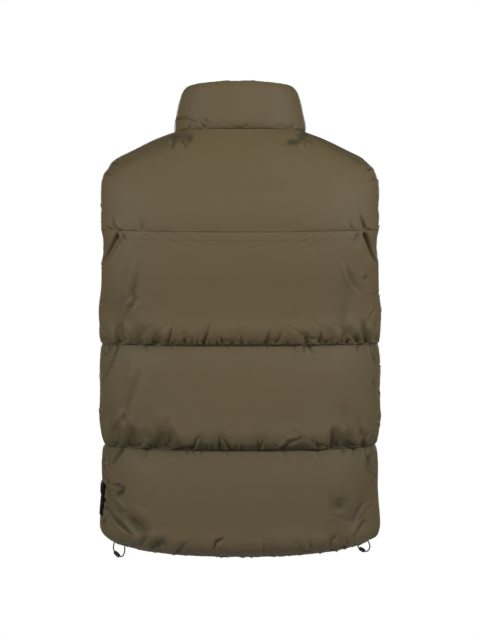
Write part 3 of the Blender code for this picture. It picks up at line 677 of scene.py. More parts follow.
# Moulded teeth, one row on each tape, meshed on the centre line.
PITCH = 0.0030
tooth_verts, tooth_faces, base = [], [], 0
first, last = 0.0133, SLIDER_AT - 0.0026
for side in (1, -1):
    at = np.arange(first + (0 if side > 0 else PITCH / 2), last, PITCH)
    p, t, n = on_zip(at)
    # (across, up, out) of a tooth's head and shank, as three rings of six
    ring = [(-0.00075, -0.00050), (0.00020, -0.00066), (0.00110, -0.00050), (0.00275, -0.00078), (0.00275, 0.00078), (0.00110, 0.00050), (0.00020, 0.00066), (-0.00075, 0.00050)]
    for height, grow in ((0.0, 1.0), (CHAIN_THICK * 0.62, 1.0), (CHAIN_THICK, 0.62)):
        for x, y in ring:
            cx = 0.0010
            tooth_verts.append(p + np.array((side, 0, 0)) * (cx + (x - cx) * grow) + t * (y * grow) + n * (CHAIN_BACK + height))
    k = len(ring)
    count = len(at)
    block_verts = np.stack(tooth_verts[-3 * k:], axis=1)  # teeth, corners, 3
    tooth_verts = tooth_verts[:-3 * k] + [block_verts.reshape(-1, 3)]
    for tooth in range(count):
        o = base + tooth * 3 * k
        for r in range(2):
            for i in range(k):
                j = (i + 1) % k
                tooth_faces.append((o + r * k + i, o + r * k + j, o + (r + 1) * k + j, o + (r + 1) * k + i))
        for ring_at, order in ((0, -1), (2, 1)):
            corner = [o + ring_at * k + i for i in range(k)][::order]
            for a in range(1, k - 1, 2):
                tooth_faces.append((corner[0], corner[a], corner[a + 1], corner[a + 2] if a + 2 < k else corner[a + 1]))
    base += count * 3 * k
tooth_faces = [f for f in tooth_faces]
quads = np.array([f for f in tooth_faces if len(set(f)) == 4])
tris = np.array([f[:3] for f in tooth_faces if len(set(f)) == 3])
teeth_mesh = filled_mesh("moulded_teeth", np.concatenate(tooth_verts), [quads] + ([tris] if len(tris) else []), smooth=False)
# The corded edges of the tapes meet behind the teeth, so no light passes between them.
at = np.linspace(first - 0.0010, last + 0.0010, 150)
p, t, n = on_zip(at)
verts, faces, _ = swept(p + n * (CHAIN_BACK + 0.00035), np.array([(x, y) for x, y in ((-0.0019, -0.0002), (0.0019, -0.0002), (0.0019, 0.0002), (-0.0019, 0.0002))]), (1, 0, 0))
together("moulded_teeth", [teeth_mesh, filled_mesh("meeting_edges", verts, faces)], TEETH, "vest", "olive_tape", "zip_chain", smooth_angle=20)

# Box at the hem
here = zip_frame(0.0065)
box_parts = [
    block("box_body", (-0.0040, -0.00425, CHAIN_BACK), (0.0040, 0.00425, CHAIN_BACK + 0.0026), 0.0005, here),
    block("box_rib", (-0.00045, -0.0030, CHAIN_BACK + 0.0024), (0.00045, 0.0036, CHAIN_BACK + 0.0031), 0.0002, here),
    block("box_step", (-0.0034, -0.0042, CHAIN_BACK + 0.0023), (0.0034, -0.0030, CHAIN_BACK + 0.0029), 0.0002, here),
]
together("zip_end_box", box_parts, METAL, "vest", "dark_metal", "zip_box")

# Slider
here = zip_frame(SLIDER_AT)
front_face = CHAIN_BACK + CHAIN_THICK + SEAM_GAP
rear_face = -(TAPE_THICK / 2 + SEAM_GAP)
PLATE = 0.0015
shield = rounded_outline([(-0.0036, -0.0055), (0.0036, -0.0055), (0.0044, -0.0010), (0.0044, 0.0042), (0.0026, 0.0055), (-0.0026, 0.0055), (-0.0044, 0.0042), (-0.0044, -0.0010)], (0.0010, 0.0010, 0.0016, 0.0012, 0.0010, 0.0010, 0.0012, 0.0016))
slider_parts = [
    flat_shape("plate_front", [shield], PLATE, 0.00035, here @ Matrix.Translation((0, 0, front_face + PLATE / 2))),
    flat_shape("plate_rear", [shield], PLATE, 0.00035, here @ Matrix.Translation((0, 0, rear_face - PLATE / 2))),
    block("divider", (-0.0013, 0.0015, rear_face - 0.0005), (0.0013, 0.0048, front_face + 0.0005), 0.0004, here),
]
for side in (1, -1):  # the rails that keep the teeth in
    slider_parts.append(block("rail", (side * 0.00415 - 0.00028, -0.0040, front_face - 0.0011), (side * 0.00415 + 0.00028, 0.0010, front_face + 0.0004), 0.00012, here))
arch_at = front_face + PLATE
arch = np.array([(0, -0.0036, -0.0006), (0, -0.0037, 0.0012), (0, -0.0033, 0.0026), (0, -0.0022, 0.0034), (0, 0.0, 0.0035), (0, 0.0022, 0.0034), (0, 0.0033, 0.0026), (0, 0.0037, 0.0012), (0, 0.0036, -0.0006)])
fine_arch, _ = through(arch, 25)
flat_bar = np.array(rounded_outline([(-0.0011, -0.0006), (0.0011, -0.0006), (0.0011, 0.0006), (-0.0011, 0.0006)], 0.0003, 3))
verts, faces, _ = swept(fine_arch + (0, 0, arch_at), flat_bar, (1, 0, 0))
arch_mesh = filled_mesh("bridge", verts, faces)
arch_mesh.transform(here)
slider_parts.append(arch_mesh)
together("zip_slider_body", slider_parts, METAL, "vest", "dark_metal", "zip_slider")

# Pull tab, hanging from the bridge
pin_out = front_face + PLATE + 0.0014
edge = rounded_outline([(-0.0032, 0.0012), (0.0032, 0.0012), (0.0035, -0.0100), (0.0035, -0.0283), (-0.0035, -0.0283), (-0.0035, -0.0100)], (0.0010, 0.0010, 0.0030, 0.0030, 0.0030, 0.0030), 7)
window = rounded_outline([(-0.0016, 0.0), (-0.0016, -0.0066), (0.0016, -0.0066), (0.0016, 0.0)], 0.0007, 4)
grip = here @ Matrix.Translation((0, 0, pin_out))
pull_parts = [flat_shape("tab", [edge, window], PULL_THICK, 0.0004, grip)]
for k in range(4):  # raised grip bars
    y = -0.0145 - 0.0030 * k
    pull_parts.append(block("bar", (-0.0023, y - 0.00045, 0.0006), (0.0023, y + 0.00045, 0.00105), 0.00018, grip))
pull_parts.append(block("pin", (-0.0018, -0.0006, -0.0006), (0.0018, 0.0006, 0.0006), 0.0003, grip))
together("zip_pull_tab", pull_parts, METAL, "pull", "dark_metal", "zip_pull")


# ======================================================================= cloth
# Each row of baffles: its levels, and how its lower and upper edges pinch it
ROWS = {
    "hem": (0, 1, "hem", "under_seam"),
    "middle": (1, 2, "seam", "under_seam"),
    "upper": (2, 3, "upper_seam", "yoke_seam"),
    "yoke": (3, 5, "yoke_fold", "neck"),
}
# (share of the loft left at the edge, distance over which it fills, how round the fill is, 0 to 1)
PUFF = {
    "hem": (0.04, 0.025, 0.45),
    "seam": (0.00, 0.024, 0.30),
    "upper_seam": (0.02, 0.021, 0.40),
    "under_seam": (0.00, 0.090, 0.0),
    "yoke_seam": (0.93, 0.012, 0.0),
    "yoke_fold": (0.96, 0.004, 0.3),
    "neck": (0.30, 0.085, 0.1),
    "side": (0.30, 0.045, 0.2),
    "armhole": (0.10, 0.040, 0.3),
    "shoulder": (0.35, 0.055, 0.0),
    "zip": (0.00, 0.032, 0.3),
    "collar_base": (0.34, 0.018, 0.5),
    "collar_top": (0.10, 0.016, 0.5),
}
# How far the filling hangs over the edge below it, and how much it thickens the baffle there.
OVERHANG = {"seam": (0.0050, 0.0025), "upper_seam": (0.0030, 0.0020), "yoke_fold": (0.0, 0.0), "hem": (0.0015, 0.0028), "collar_base": (0.0020, 0.0)}
# Where the underside of a baffle rises higher above its lower edge, along the back: (place across in the picture, half width there, extra height in mm)
SKIRTS = {
    "middle": ((114, 3, 5), (124, 7, 24), (135, 6, 19), (150, 9, 13), (163, 7, 16), (174, 5, 14), (202, 4, 6), (220, 9, 7), (260, 5, 5), (299, 4, 3), (332, 7, 17), (343, 6, 12), (357, 6, 8), (368, 4, 10)),
    "upper": ((112, 5, 9), (126, 7, 12), (144, 8, 14), (158, 6, 9), (172, 5, 4), (186, 4, 5), (205, 3, 6), (240, 4, 3), (299, 3, 3), (313, 4, 6), (327, 6, 10), (346, 6, 12), (358, 5, 8), (368, 4, 19)),
    "hem": ((131, 5, 3), (160, 5, 4), (185, 4, 3), (272, 8, 4), (296, 6, 4), (335, 6, 3), (361, 4, 3)),
    "yoke": (),
    "collar": (),
}


def rounded(distance, pinch, flatter=1.0):
    left, reach, roundness = pinch
    roundness = roundness * flatter
    x = np.minimum(distance / reach, 1)
    soft = 1 - (1 - x) ** 2
    return left + (1 - left) * (soft * (1 - roundness) + np.sqrt(soft) * roundness)


def overhung(distance, pinch, facing):
    """The lower edge of a baffle: its filled underside slopes out to a bend, and rounds more gently where the side of the body is."""
    left, reach, roundness = pinch
    x = distance / reach
    ramp = x - 0.11 * np.logaddexp(0, (x - 1) / 0.11)
    soft = 1 - (1 - np.minimum(x, 1)) ** 2
    under = soft + 0.55 * facing * (ramp - soft)
    roundness = roundness * facing
    return left + (1 - left) * (under * (1 - roundness) + np.sqrt(soft) * roundness)


def levels_between(table, first, last, count, crowd=0.3):
    """Levels at even distances up the centre back, closer together at the seams."""
    fine = np.linspace(first, last, 400)
    line = skin(table, np.zeros(400), fine)
    arc = np.concatenate([[0], np.cumsum(np.linalg.norm(np.diff(line, axis=0), axis=1))])
    t = np.linspace(0, 1, count)
    t = t - crowd * np.sin(2 * math.pi * t) / (2 * math.pi)
    return np.interp(t * arc[-1], arc, fine)


def puffed(table, levels, stations, side, behind, low, high, lofts, skirts, rng):
    """A padded piece's outer and inner points and normals, its distances up and across, and the share of its loft."""
    levels = inside_seams(table, levels)
    middle, normal = [], []
    for level in levels:
        angle = angles_on_ring(table, level, behind, stations, ZIP_EDGE_X)
        if side == 0:
            angle = np.concatenate([-angle[:0:-1], angle])
        elif side < 0:
            angle = -angle
        middle.append(skin(table, angle, level))
        normal.append(skin_normal(table, angle, level))
    middle, normal = np.stack(middle, axis=1), np.stack(normal, axis=1)
    up = np.cumsum(np.linalg.norm(np.diff(middle, axis=1, prepend=middle[:, :1]), axis=2), axis=1)
    across = np.cumsum(np.linalg.norm(np.diff(middle, axis=0, prepend=middle[:1]), axis=2), axis=0)
    facing = np.clip((np.abs(normal[..., 1]) - 0.25) / 0.45, 0, 1)  # the sides fill more gently than the back and fronts
    if skirts is None:
        run = across[:, 0]
        skirts = [(x, rng.uniform(0.005, 0.015), rng.uniform(0.003, 0.020)) for x in rng.uniform(0, run[-1], rng.integers(6, 9))]
    else:
        run = seen(middle[:, 0])[:, 0]
    taller = np.zeros(len(run))
    for place, half, extra in skirts:
        extra = extra if side else extra / 1000
        taller = np.maximum(taller, extra * np.exp(-(((run - place) / half) ** 2)))
    taller = taller[:, None] * facing
    left, reach, roundness = PUFF[low]
    reach_low = reach
    wider = (reach + taller) / reach
    softer = 1 + 1.1 * (1 - facing) if low in ("seam", "upper_seam") else 1.0
    edge_shape = overhung if low in ("seam", "upper_seam", "hem") else rounded
    full = edge_shape(up, (left, reach * wider * softer, roundness / wider), facing) * rounded(up[:, -1:] - up, PUFF[high], facing)
    if table is COLLAR or side:
        full *= rounded(across, PUFF["zip"])
    if table is COLLAR:
        full *= rounded(across[-1:] - across, PUFF["zip"])
    else:
        on_left = np.abs(middle) if side == 0 else middle * (side, 1, 1)
        if side == 0:
            on_left[..., 1:] = middle[..., 1:]
        for name, line in SIDE_EDGES.items():
            left, reach, roundness = PUFF[name]
            if name == "side":  # the side seam is nearly flush at the hem and sinks in towards the armhole
                left = left + 0.2 + 0.45 * np.clip((2.2 - np.array(levels)) / 1.2, 0, 1)[None, :]
            full *= rounded(distance_to(on_left, line), (left, reach, roundness))
    # The filling hangs, so each baffle leans a little over the seam below it and is thickest above it.
    lean, sag = OVERHANG.get(low, (0.0, 0.0))
    hang = lean * facing * full * np.exp(-(((up - 0.010) / 0.011) ** 2))
    belly = (sag + 0.07 * taller) * facing * full * np.exp(-(((up - 0.021 - 0.8 * taller) / (0.016 + 0.35 * taller)) ** 2))
    down = -np.gradient(middle, axis=1)
    down /= np.linalg.norm(down, axis=2, keepdims=True)
    outer = middle + normal * (EDGE_THICK / 2 + lofts[0] * full + belly)[..., None] + down * hang[..., None]
    inner = middle - normal * (EDGE_THICK / 2 + lofts[1] * full)[..., None]
    # A mask for painted shade on the underside of the filling, where it rises taller over the seam.
    tucked = np.clip((1 - up / (reach_low + taller)) / 0.22 + 0.5, 0, 1)
    tucked = tucked * tucked * (3 - 2 * tucked) * np.clip(taller / 0.010, 0, 1) * facing
    return {"outer": outer, "inner": inner, "normal": normal, "up": up, "across": across, "full": full, "tucked": tucked}


def resampled(a, n, m):
    """The grid of points read at n by m even places, on the cubic through four."""
    for axis, count in ((0, n), (1, m)):
        b = np.swapaxes(a, 0, axis)
        long = np.concatenate([2 * b[:1] - b[1:2], b, 2 * b[-1:] - b[-2:-1]])
        at = np.linspace(0, len(b) - 1, count)
        i = np.minimum(at.astype(int), len(b) - 2)
        t = (at - i).reshape(-1, *[1] * (b.ndim - 1))
        p0, p1, p2, p3 = long[i], long[i + 1], long[i + 2], long[i + 3]
        b = 0.5 * (2 * p1 + (p2 - p0) * t + (2 * p0 - 5 * p1 + 4 * p2 - p3) * t**2 + (3 * p1 - p0 - 3 * p2 + p3) * t**3)
        a = np.swapaxes(b, 0, axis)
    return a


def blurred(a, steps, held=True):
    """The grid smoothed so many times with its four neighbours. Its border stays at zero if held."""
    b = a.copy()
    for _ in range(steps):
        c = b.copy()
        c[1:-1] = b[1:-1] * 0.5 + (b[:-2] + b[2:]) * 0.25
        d = c.copy()
        d[:, 1:-1] = c[:, 1:-1] * 0.5 + (c[:, :-2] + c[:, 2:]) * 0.25
        b = d
        if held:
            b[0] = b[-1] = 0
            b[:, 0] = b[:, -1] = 0
    return b


def blotches(shape, size, cell, rng):
    """Smooth noise from -1 to 1 on a grid of that physical size, with cells of about that width and height."""
    counts = [max(2, int(round(s / c)) + 1) for s, c in zip(size, cell)]
    coarse = rng.uniform(-1, 1, (counts[0] + 3, counts[1] + 3))
    out = coarse
    for axis, (n, count) in enumerate(zip(shape, counts)):
        at = np.linspace(1, count, n)
        i = np.clip(at.astype(int), 1, out.shape[axis] - 3)
        t = at - i
        w = [((-t + 2) * t - 1) * t / 2, ((3 * t - 5) * t * t + 2) / 2, ((-3 * t + 4) * t + 1) * t / 2, (t - 1) * t * t / 2]
        taken = [np.take(out, i + k - 1, axis=axis) for k in range(4)]
        form = [1, 1]
        form[axis] = n
        out = sum(wk.reshape(form) * tk for wk, tk in zip(w, taken))
    return out


def place_on(panel, spots):
    """The (across, up) distances on a panel of spots given in the picture."""
    at = seen(panel["outer"]).reshape(-1, 2)
    flat = np.stack([panel["across"], panel["up"]], axis=-1).reshape(-1, 2)
    facing = panel["normal"][..., 1].reshape(-1) > -0.05
    found = []
    for spot in spots:
        d = np.linalg.norm(at - spot, axis=1) + np.where(facing, 0, 1e3)
        near = np.argsort(d)[:4]
        weight = 1 / (d[near] + 0.05) ** 2
        found.append((flat[near] * weight[:, None]).sum(axis=0) / weight.sum())
    return np.array(found)


def crease_fields(panel, creases):
    """Depth along the normal, and how far the flat cloth is wider there, for creases as (points on the panel, half width, depth, fades at both ends, steep side). A narrow crease is a fold: sharp at the bottom, steep and swollen on one side. A wide one is a soft hollow."""
    flat = np.stack([panel["across"], panel["up"]], axis=-1)
    depth = np.zeros(flat.shape[:2])
    widen = np.zeros_like(flat)
    for line, half, deep, both, steep in creases:
        length = np.linalg.norm(np.diff(line, axis=0), axis=1)
        total = max(length.sum(), 1e-6)
        best = np.full(flat.shape[:2], 1e9)
        side = np.zeros(flat.shape[:2])
        share = np.zeros(flat.shape[:2])
        way = np.zeros_like(flat)
        run = 0.0
        for a, b, l in zip(line[:-1], line[1:], length):
            if l < 1e-6:
                continue
            t = (b - a) / l
            rel = flat - a
            along = np.clip((rel * t).sum(axis=2), 0, l)
            off = rel - along[..., None] * t
            d = np.linalg.norm(off, axis=2)
            nearer = d < best
            best = np.where(nearer, d, best)
            n = np.array([-t[1], t[0]])
            side = np.where(nearer, (rel * n).sum(axis=2), side)
            share = np.where(nearer, (run + along) / total, share)
            way = np.where(nearer[..., None], n, way)
            run += l
        fade = np.sin(np.pi * np.clip(share, 0.0, 1.0)) ** 0.8 if both else np.clip(1 - share, 0, 1) ** 0.7
        if half < 0.0048 and deep > 0:
            near_side = side * steep > 0
            thin = half * (0.45 + 0.55 * fade)
            trough = np.exp(-((best / (thin * np.where(near_side, 0.7, 1.5))) ** 1.3))
            trough -= np.where(near_side, 0.42, 0.16) * np.exp(-(((best - 2.1 * thin) / (1.1 * thin)) ** 2))
        else:
            trough = np.exp(-((best / half) ** 2)) - 0.22 * np.exp(-(((best - 2.1 * half) / (1.1 * half)) ** 2))
        depth -= deep * fade * trough
        widen += way * (0.6 * abs(deep) * fade * np.tanh(side / half) * np.exp(-((best / (6 * half)) ** 2)))[..., None]
    return depth, widen


BEND = 0.4


def cloth_object(name, panel, start, flat):
    """A grid of cloth, pinned along its edges, whose resting shape is the flat cut."""
    n, m = start.shape[:2]
    index = np.arange(n * m).reshape(n, m)
    faces = np.stack([index[:-1, :-1], index[:-1, 1:], index[1:, 1:], index[1:, :-1]], axis=-1).reshape(-1, 4)
    if not panel["along_back"]:
        faces = faces[:, ::-1]
    mesh = bpy.data.meshes.new(name)
    mesh.from_pydata(start.reshape(-1, 3).tolist(), [], faces.tolist())
    obj = bpy.data.objects.new(name, mesh)
    bpy.context.scene.collection.objects.link(obj)
    edge = np.concatenate([index[0], index[-1], index[:, 0], index[:, -1]])
    pins = obj.vertex_groups.new(name="sewn")
    pins.add(np.unique(edge).tolist(), 1.0, "REPLACE")
    obj.shape_key_add(name="as_sewn")
    cut = obj.shape_key_add(name="as_cut")
    cut.data.foreach_set("co", np.ascontiguousarray(flat, np.float32).ravel())
    cut.value = 0
    cloth = obj.modifiers.new("cloth", "CLOTH")
    s = cloth.settings
    s.quality, s.mass, s.air_damping = 5, 0.3, 1.0
    s.tension_stiffness = s.compression_stiffness = 40
    s.shear_stiffness = 8
    s.bending_stiffness = BEND
    s.use_pressure, s.uniform_pressure_force = True, panel["pressure"]
    s.effector_weights.gravity = 0
    s.vertex_group_mass, s.pin_stiffness = "sewn", 1
    s.rest_shape_key = cut
    cloth.collision_settings.use_collision = False
    return obj


def settled(panels, frames=22):
    """Runs all the cloths together and leaves each panel's settled points in it."""
    scene = bpy.context.scene
    made = {name: cloth_object("cloth_" + name, p, p["start"], p["flat"]) for name, p in panels.items()}
    scene.frame_start, scene.frame_end = 1, frames
    for frame_number in range(1, frames + 1):
        scene.frame_set(frame_number)
    graph = bpy.context.evaluated_depsgraph_get()
    for name, obj in made.items():
        shape = obj.evaluated_get(graph).to_mesh()
        points = np.empty(len(shape.vertices) * 3, np.float32)
        shape.vertices.foreach_get("co", points)
        obj.evaluated_get(graph).to_mesh_clear()
        panels[name]["settled"] = points.reshape(panels[name]["outer"].shape).astype(float)
    for obj in made.values():
        mesh = obj.data
        bpy.data.objects.remove(obj)
        bpy.data.meshes.remove(mesh)
    scene.frame_set(1)


# Creases that the back shows, by row: (points from the seam outwards in the picture, half width in mm, depth in mm). A negative depth is a ridge.
SEEN_CREASES = {
    "yoke": (
        (((302, 136), (296, 139), (288, 143), (280, 146)), 3.0, 1.2),
        (((301, 137), (297, 139), (291, 142)), 4.4, 0.9),
        (((303, 136), (299, 141), (295, 148)), 2.6, 1.9),
        (((305, 137), (305, 148)), 2.6, 1.5),
        (((304, 136), (314, 146)), 3.5, 1.5),
        (((177, 136), (182, 136.5), (189, 138)), 5.0, 1.8),
        (((175, 137), (172.5, 144), (171, 151)), 3.0, 1.5),
        (((181, 138), (185, 146), (187, 151)), 3.0, 1.2),
        (((188, 135), (191, 142)), 3.0, 1.0),
        (((117, 231), (114, 224), (112, 216)), 3.0, 2.4),
        (((112, 231), (105, 226)), 3.0, 1.6),
        (((365, 231), (363, 222), (360, 213)), 3.0, 2.4),
        (((352, 230), (350, 221)), 3.0, 1.3),
        (((142, 230), (141, 218)), 5.0, 1.2),
        (((112, 160), (118, 166)), 3.5, 1.6),
        (((106, 172), (114, 176)), 3.5, 1.6),
        (((372, 166), (362, 172)), 3.5, 1.6),
        (((377, 178), (368, 182)), 3.5, 1.4),
        (((330, 160), (318, 178)), 12.0, 0.6),
        (((150, 160), (160, 176)), 12.0, 0.6),
    ),
    "upper": (
        (((117, 236), (111, 246), (105, 256), (101.5, 267)), 3.2, 4.0),
        (((366, 235), (369.5, 244), (373.5, 254), (378, 266)), 3.2, 4.0),
        (((118, 236), (120, 244)), 2.6, 1.5),
        (((123, 236), (127, 243)), 2.6, 1.2),
        (((357, 236), (354, 246)), 3.0, 1.3),
        (((119, 343), (116, 329)), 3.0, 2.6),
        (((124, 343), (124, 320)), 4.0, 1.6),
        (((140, 343), (139, 333)), 5.0, 2.0),
        (((157, 343), (158, 332)), 7.5, 2.6),
        (((167, 343), (170, 334), (174, 324)), 3.0, 2.3),
        (((184, 343), (184, 336)), 2.4, 1.5),
        (((193, 343), (193, 336)), 2.4, 1.6),
        (((197.5, 343), (199, 337)), 2.4, 1.3),
        (((203, 343), (207, 333), (211, 322)), 2.8, 2.1),
        (((222, 343), (221, 336)), 2.4, 1.5),
        (((233, 343), (234, 337)), 2.4, 1.4),
        (((243, 343), (243, 337)), 2.4, 1.2),
        (((265, 343), (268, 336), (271, 328)), 3.0, 2.1),
        (((277, 343), (280, 337), (283, 330)), 3.0, 2.2),
        (((306, 343), (306, 332)), 5.5, 2.4),
        (((319, 343), (321, 327)), 3.0, 2.2),
        (((343, 343), (344, 320), (344, 302)), 6.0, 1.7),
        (((347, 343), (347, 337)), 3.2, 3.0),
        (((367, 343), (366, 332), (364.6, 320)), 6.5, 3.6),
        (((356, 343), (356, 334)), 5.0, 2.4),
        (((374, 326), (378, 304)), 3.0, 1.7),
        (((370, 318), (375, 308)), 2.6, 1.3),
        (((102, 301), (110, 304)), 3.0, 0.6),
        (((377, 292), (369, 296)), 3.0, 1.2),
        (((120, 336), (125.5, 306), (130, 285), (135.5, 256)), 4.2, -1.5),
        (((128, 322), (132.5, 302), (137, 283), (141, 264)), 5.0, 1.0),
        (((341, 262), (345, 274), (351, 288)), 3.5, -1.3),
        (((346, 266), (353, 281), (361, 294)), 5.0, 0.9),
        (((367, 274), (364, 282)), 3.0, 1.6),
    ),
    "middle": (
        (((110, 440), (114, 424), (125, 408)), 4.5, -1.8),
        (((118, 446), (120, 432)), 4.0, 2.0),
        (((132, 448), (133, 436), (134, 426)), 12.0, 3.4),
        (((158, 449), (160, 434), (161, 420)), 12.0, 3.2),
        (((169, 449), (168, 432), (167, 417)), 7.0, 2.0),
        (((146, 449), (146, 437)), 5.0, -2.0),
        (((180, 450), (178, 440)), 4.0, 2.2),
        (((192.6, 451), (195.5, 441), (201, 436)), 2.7, 2.8),
        (((207, 451), (208, 443)), 2.4, 1.4),
        (((219, 451), (218.5, 444), (220, 436)), 2.6, 2.6),
        (((231, 451), (226, 444), (222, 437)), 2.6, 2.6),
        (((242, 451), (241, 443)), 2.6, 1.4),
        (((259, 451), (257, 439)), 2.4, 2.2),
        (((260, 451), (263, 440)), 2.4, 2.0),
        (((280, 450), (288, 443), (296, 440.5), (305, 436)), 2.8, 2.9),
        (((318, 449), (317, 441)), 2.6, 1.4),
        (((330, 449), (332, 437), (333, 424)), 3.0, 2.4),
        (((332, 448), (333, 438), (333, 429)), 7.5, 2.4),
        (((344, 447), (344, 433)), 9.0, 2.8),
        (((356, 446), (362, 437), (368, 427)), 3.2, -1.8),
        (((361, 446), (366, 438), (371, 432)), 3.0, 1.8),
        (((360, 445), (361, 430), (360, 416)), 5.0, 1.5),
        (((372, 446), (374, 434)), 3.0, 2.0),
        (((108, 347), (107, 353), (104, 359)), 2.6, 1.7),
        (((117.5, 347), (113, 360), (106, 378)), 3.2, 2.2),
        (((105, 376), (103, 385)), 2.8, 1.4),
        (((134, 352), (131, 376), (128, 400)), 7.0, -1.4),
        (((140, 370), (131, 396), (120, 424)), 7.0, 1.3),
        (((298, 346), (299, 358)), 2.8, -1.6),
        (((304, 346), (303, 356)), 2.8, 1.4),
        (((309, 346), (312, 353), (312, 360)), 2.6, 1.7),
        (((147, 346), (147, 354)), 3.0, 1.2),
        (((172, 346), (171, 353)), 3.0, 1.2),
        (((228, 346), (229, 353)), 3.0, 1.0),
        (((267, 346), (266, 354)), 3.0, 1.1),
        (((371, 347), (373, 356), (377, 366)), 3.0, 2.2),
        (((372, 378), (376, 391)), 3.0, 1.6),
        (((358, 347), (359, 356)), 3.0, 1.3),
    ),
    "hem": (
        (((187, 453), (188, 460)), 2.4, 1.3),
        (((194, 453), (194, 459)), 2.4, 1.2),
        (((201, 453), (200, 460)), 2.4, 1.3),
        (((228, 454), (228, 460)), 2.6, 0.9),
        (((283, 452), (285, 459)), 2.6, 1.1),
        (((317, 451), (317, 459)), 2.8, 1.2),
        (((343, 449), (344, 458)), 3.0, 1.3),
        (((122, 450), (117, 457), (111, 464)), 3.0, 2.2),
        (((106, 449), (107, 460), (109, 471)), 3.2, 1.8),
        (((147, 450), (143, 461)), 3.5, 1.3),
        (((111, 485), (118, 486), (124, 489)), 2.8, 2.0),
        (((124, 485), (121.5, 493), (115, 497)), 3.0, 2.6),
        (((112, 492), (119, 503), (126, 512)), 5.0, -1.2),
        (((366, 449), (368, 461), (371, 476)), 3.2, 2.0),
        (((371, 452), (372, 469)), 4.5, 1.7),
        (((355, 449), (354, 460)), 3.4, 1.4),
        (((108, 511), (118, 522), (134, 537)), 2.8, 3.0),
        (((127, 515), (136, 524), (147, 536)), 8.5, 2.6),
        (((151, 549), (157, 545), (165, 542)), 6.0, 2.4),
        (((139, 547), (143, 541), (150, 538)), 5.0, 1.6),
        (((340, 498), (340, 513)), 11.0, 1.7),
        (((366, 500), (358, 512), (352, 525)), 3.4, 1.6),
        (((366, 519), (360, 528), (354, 538)), 3.0, 2.2),
        (((369, 456), (369, 464), (370, 471)), 6.5, 2.2),
        (((372, 478), (374, 490)), 3.0, 1.6),
        (((329, 548), (332, 541), (338, 537)), 4.0, 1.8),
        (((213, 551), (216, 544), (225, 538.5)), 2.8, 2.4),
        (((176, 552), (182, 546), (190, 543)), 4.5, 1.6),
        (((160, 551), (158, 542)), 3.0, 1.2),
        (((262, 552), (264, 543)), 3.0, 1.2),
        (((310, 550), (309, 541)), 3.0, 1.2),
        (((132, 549), (133, 539)), 3.0, 1.3),
        (((345, 547), (346, 538)), 3.0, 1.3),
    ),
    "collar": (
        (((177, 120), (185.5, 118), (194, 121), (204, 128)), 2.8, 1.5),
        (((204, 128), (200, 121), (197.5, 115)), 3.0, 1.3),
        (((208, 124), (205, 117)), 3.0, 1.0),
        (((189, 129), (190, 125)), 2.6, 1.2),
        (((246, 128), (248, 121)), 4.0, 0.8),
        (((291, 130), (296, 123)), 3.5, 1.4),
        (((303, 131), (303, 122)), 3.5, 1.5),
        (((216, 82), (216, 87)), 2.6, 1.0),
        (((227, 81), (228, 86)), 2.6, 1.0),
        (((240, 81), (240, 85)), 2.6, 0.8),
        (((253, 81), (254, 86)), 2.6, 0.9),
        (((266, 82), (265, 87)), 2.6, 1.0),
    ),
}


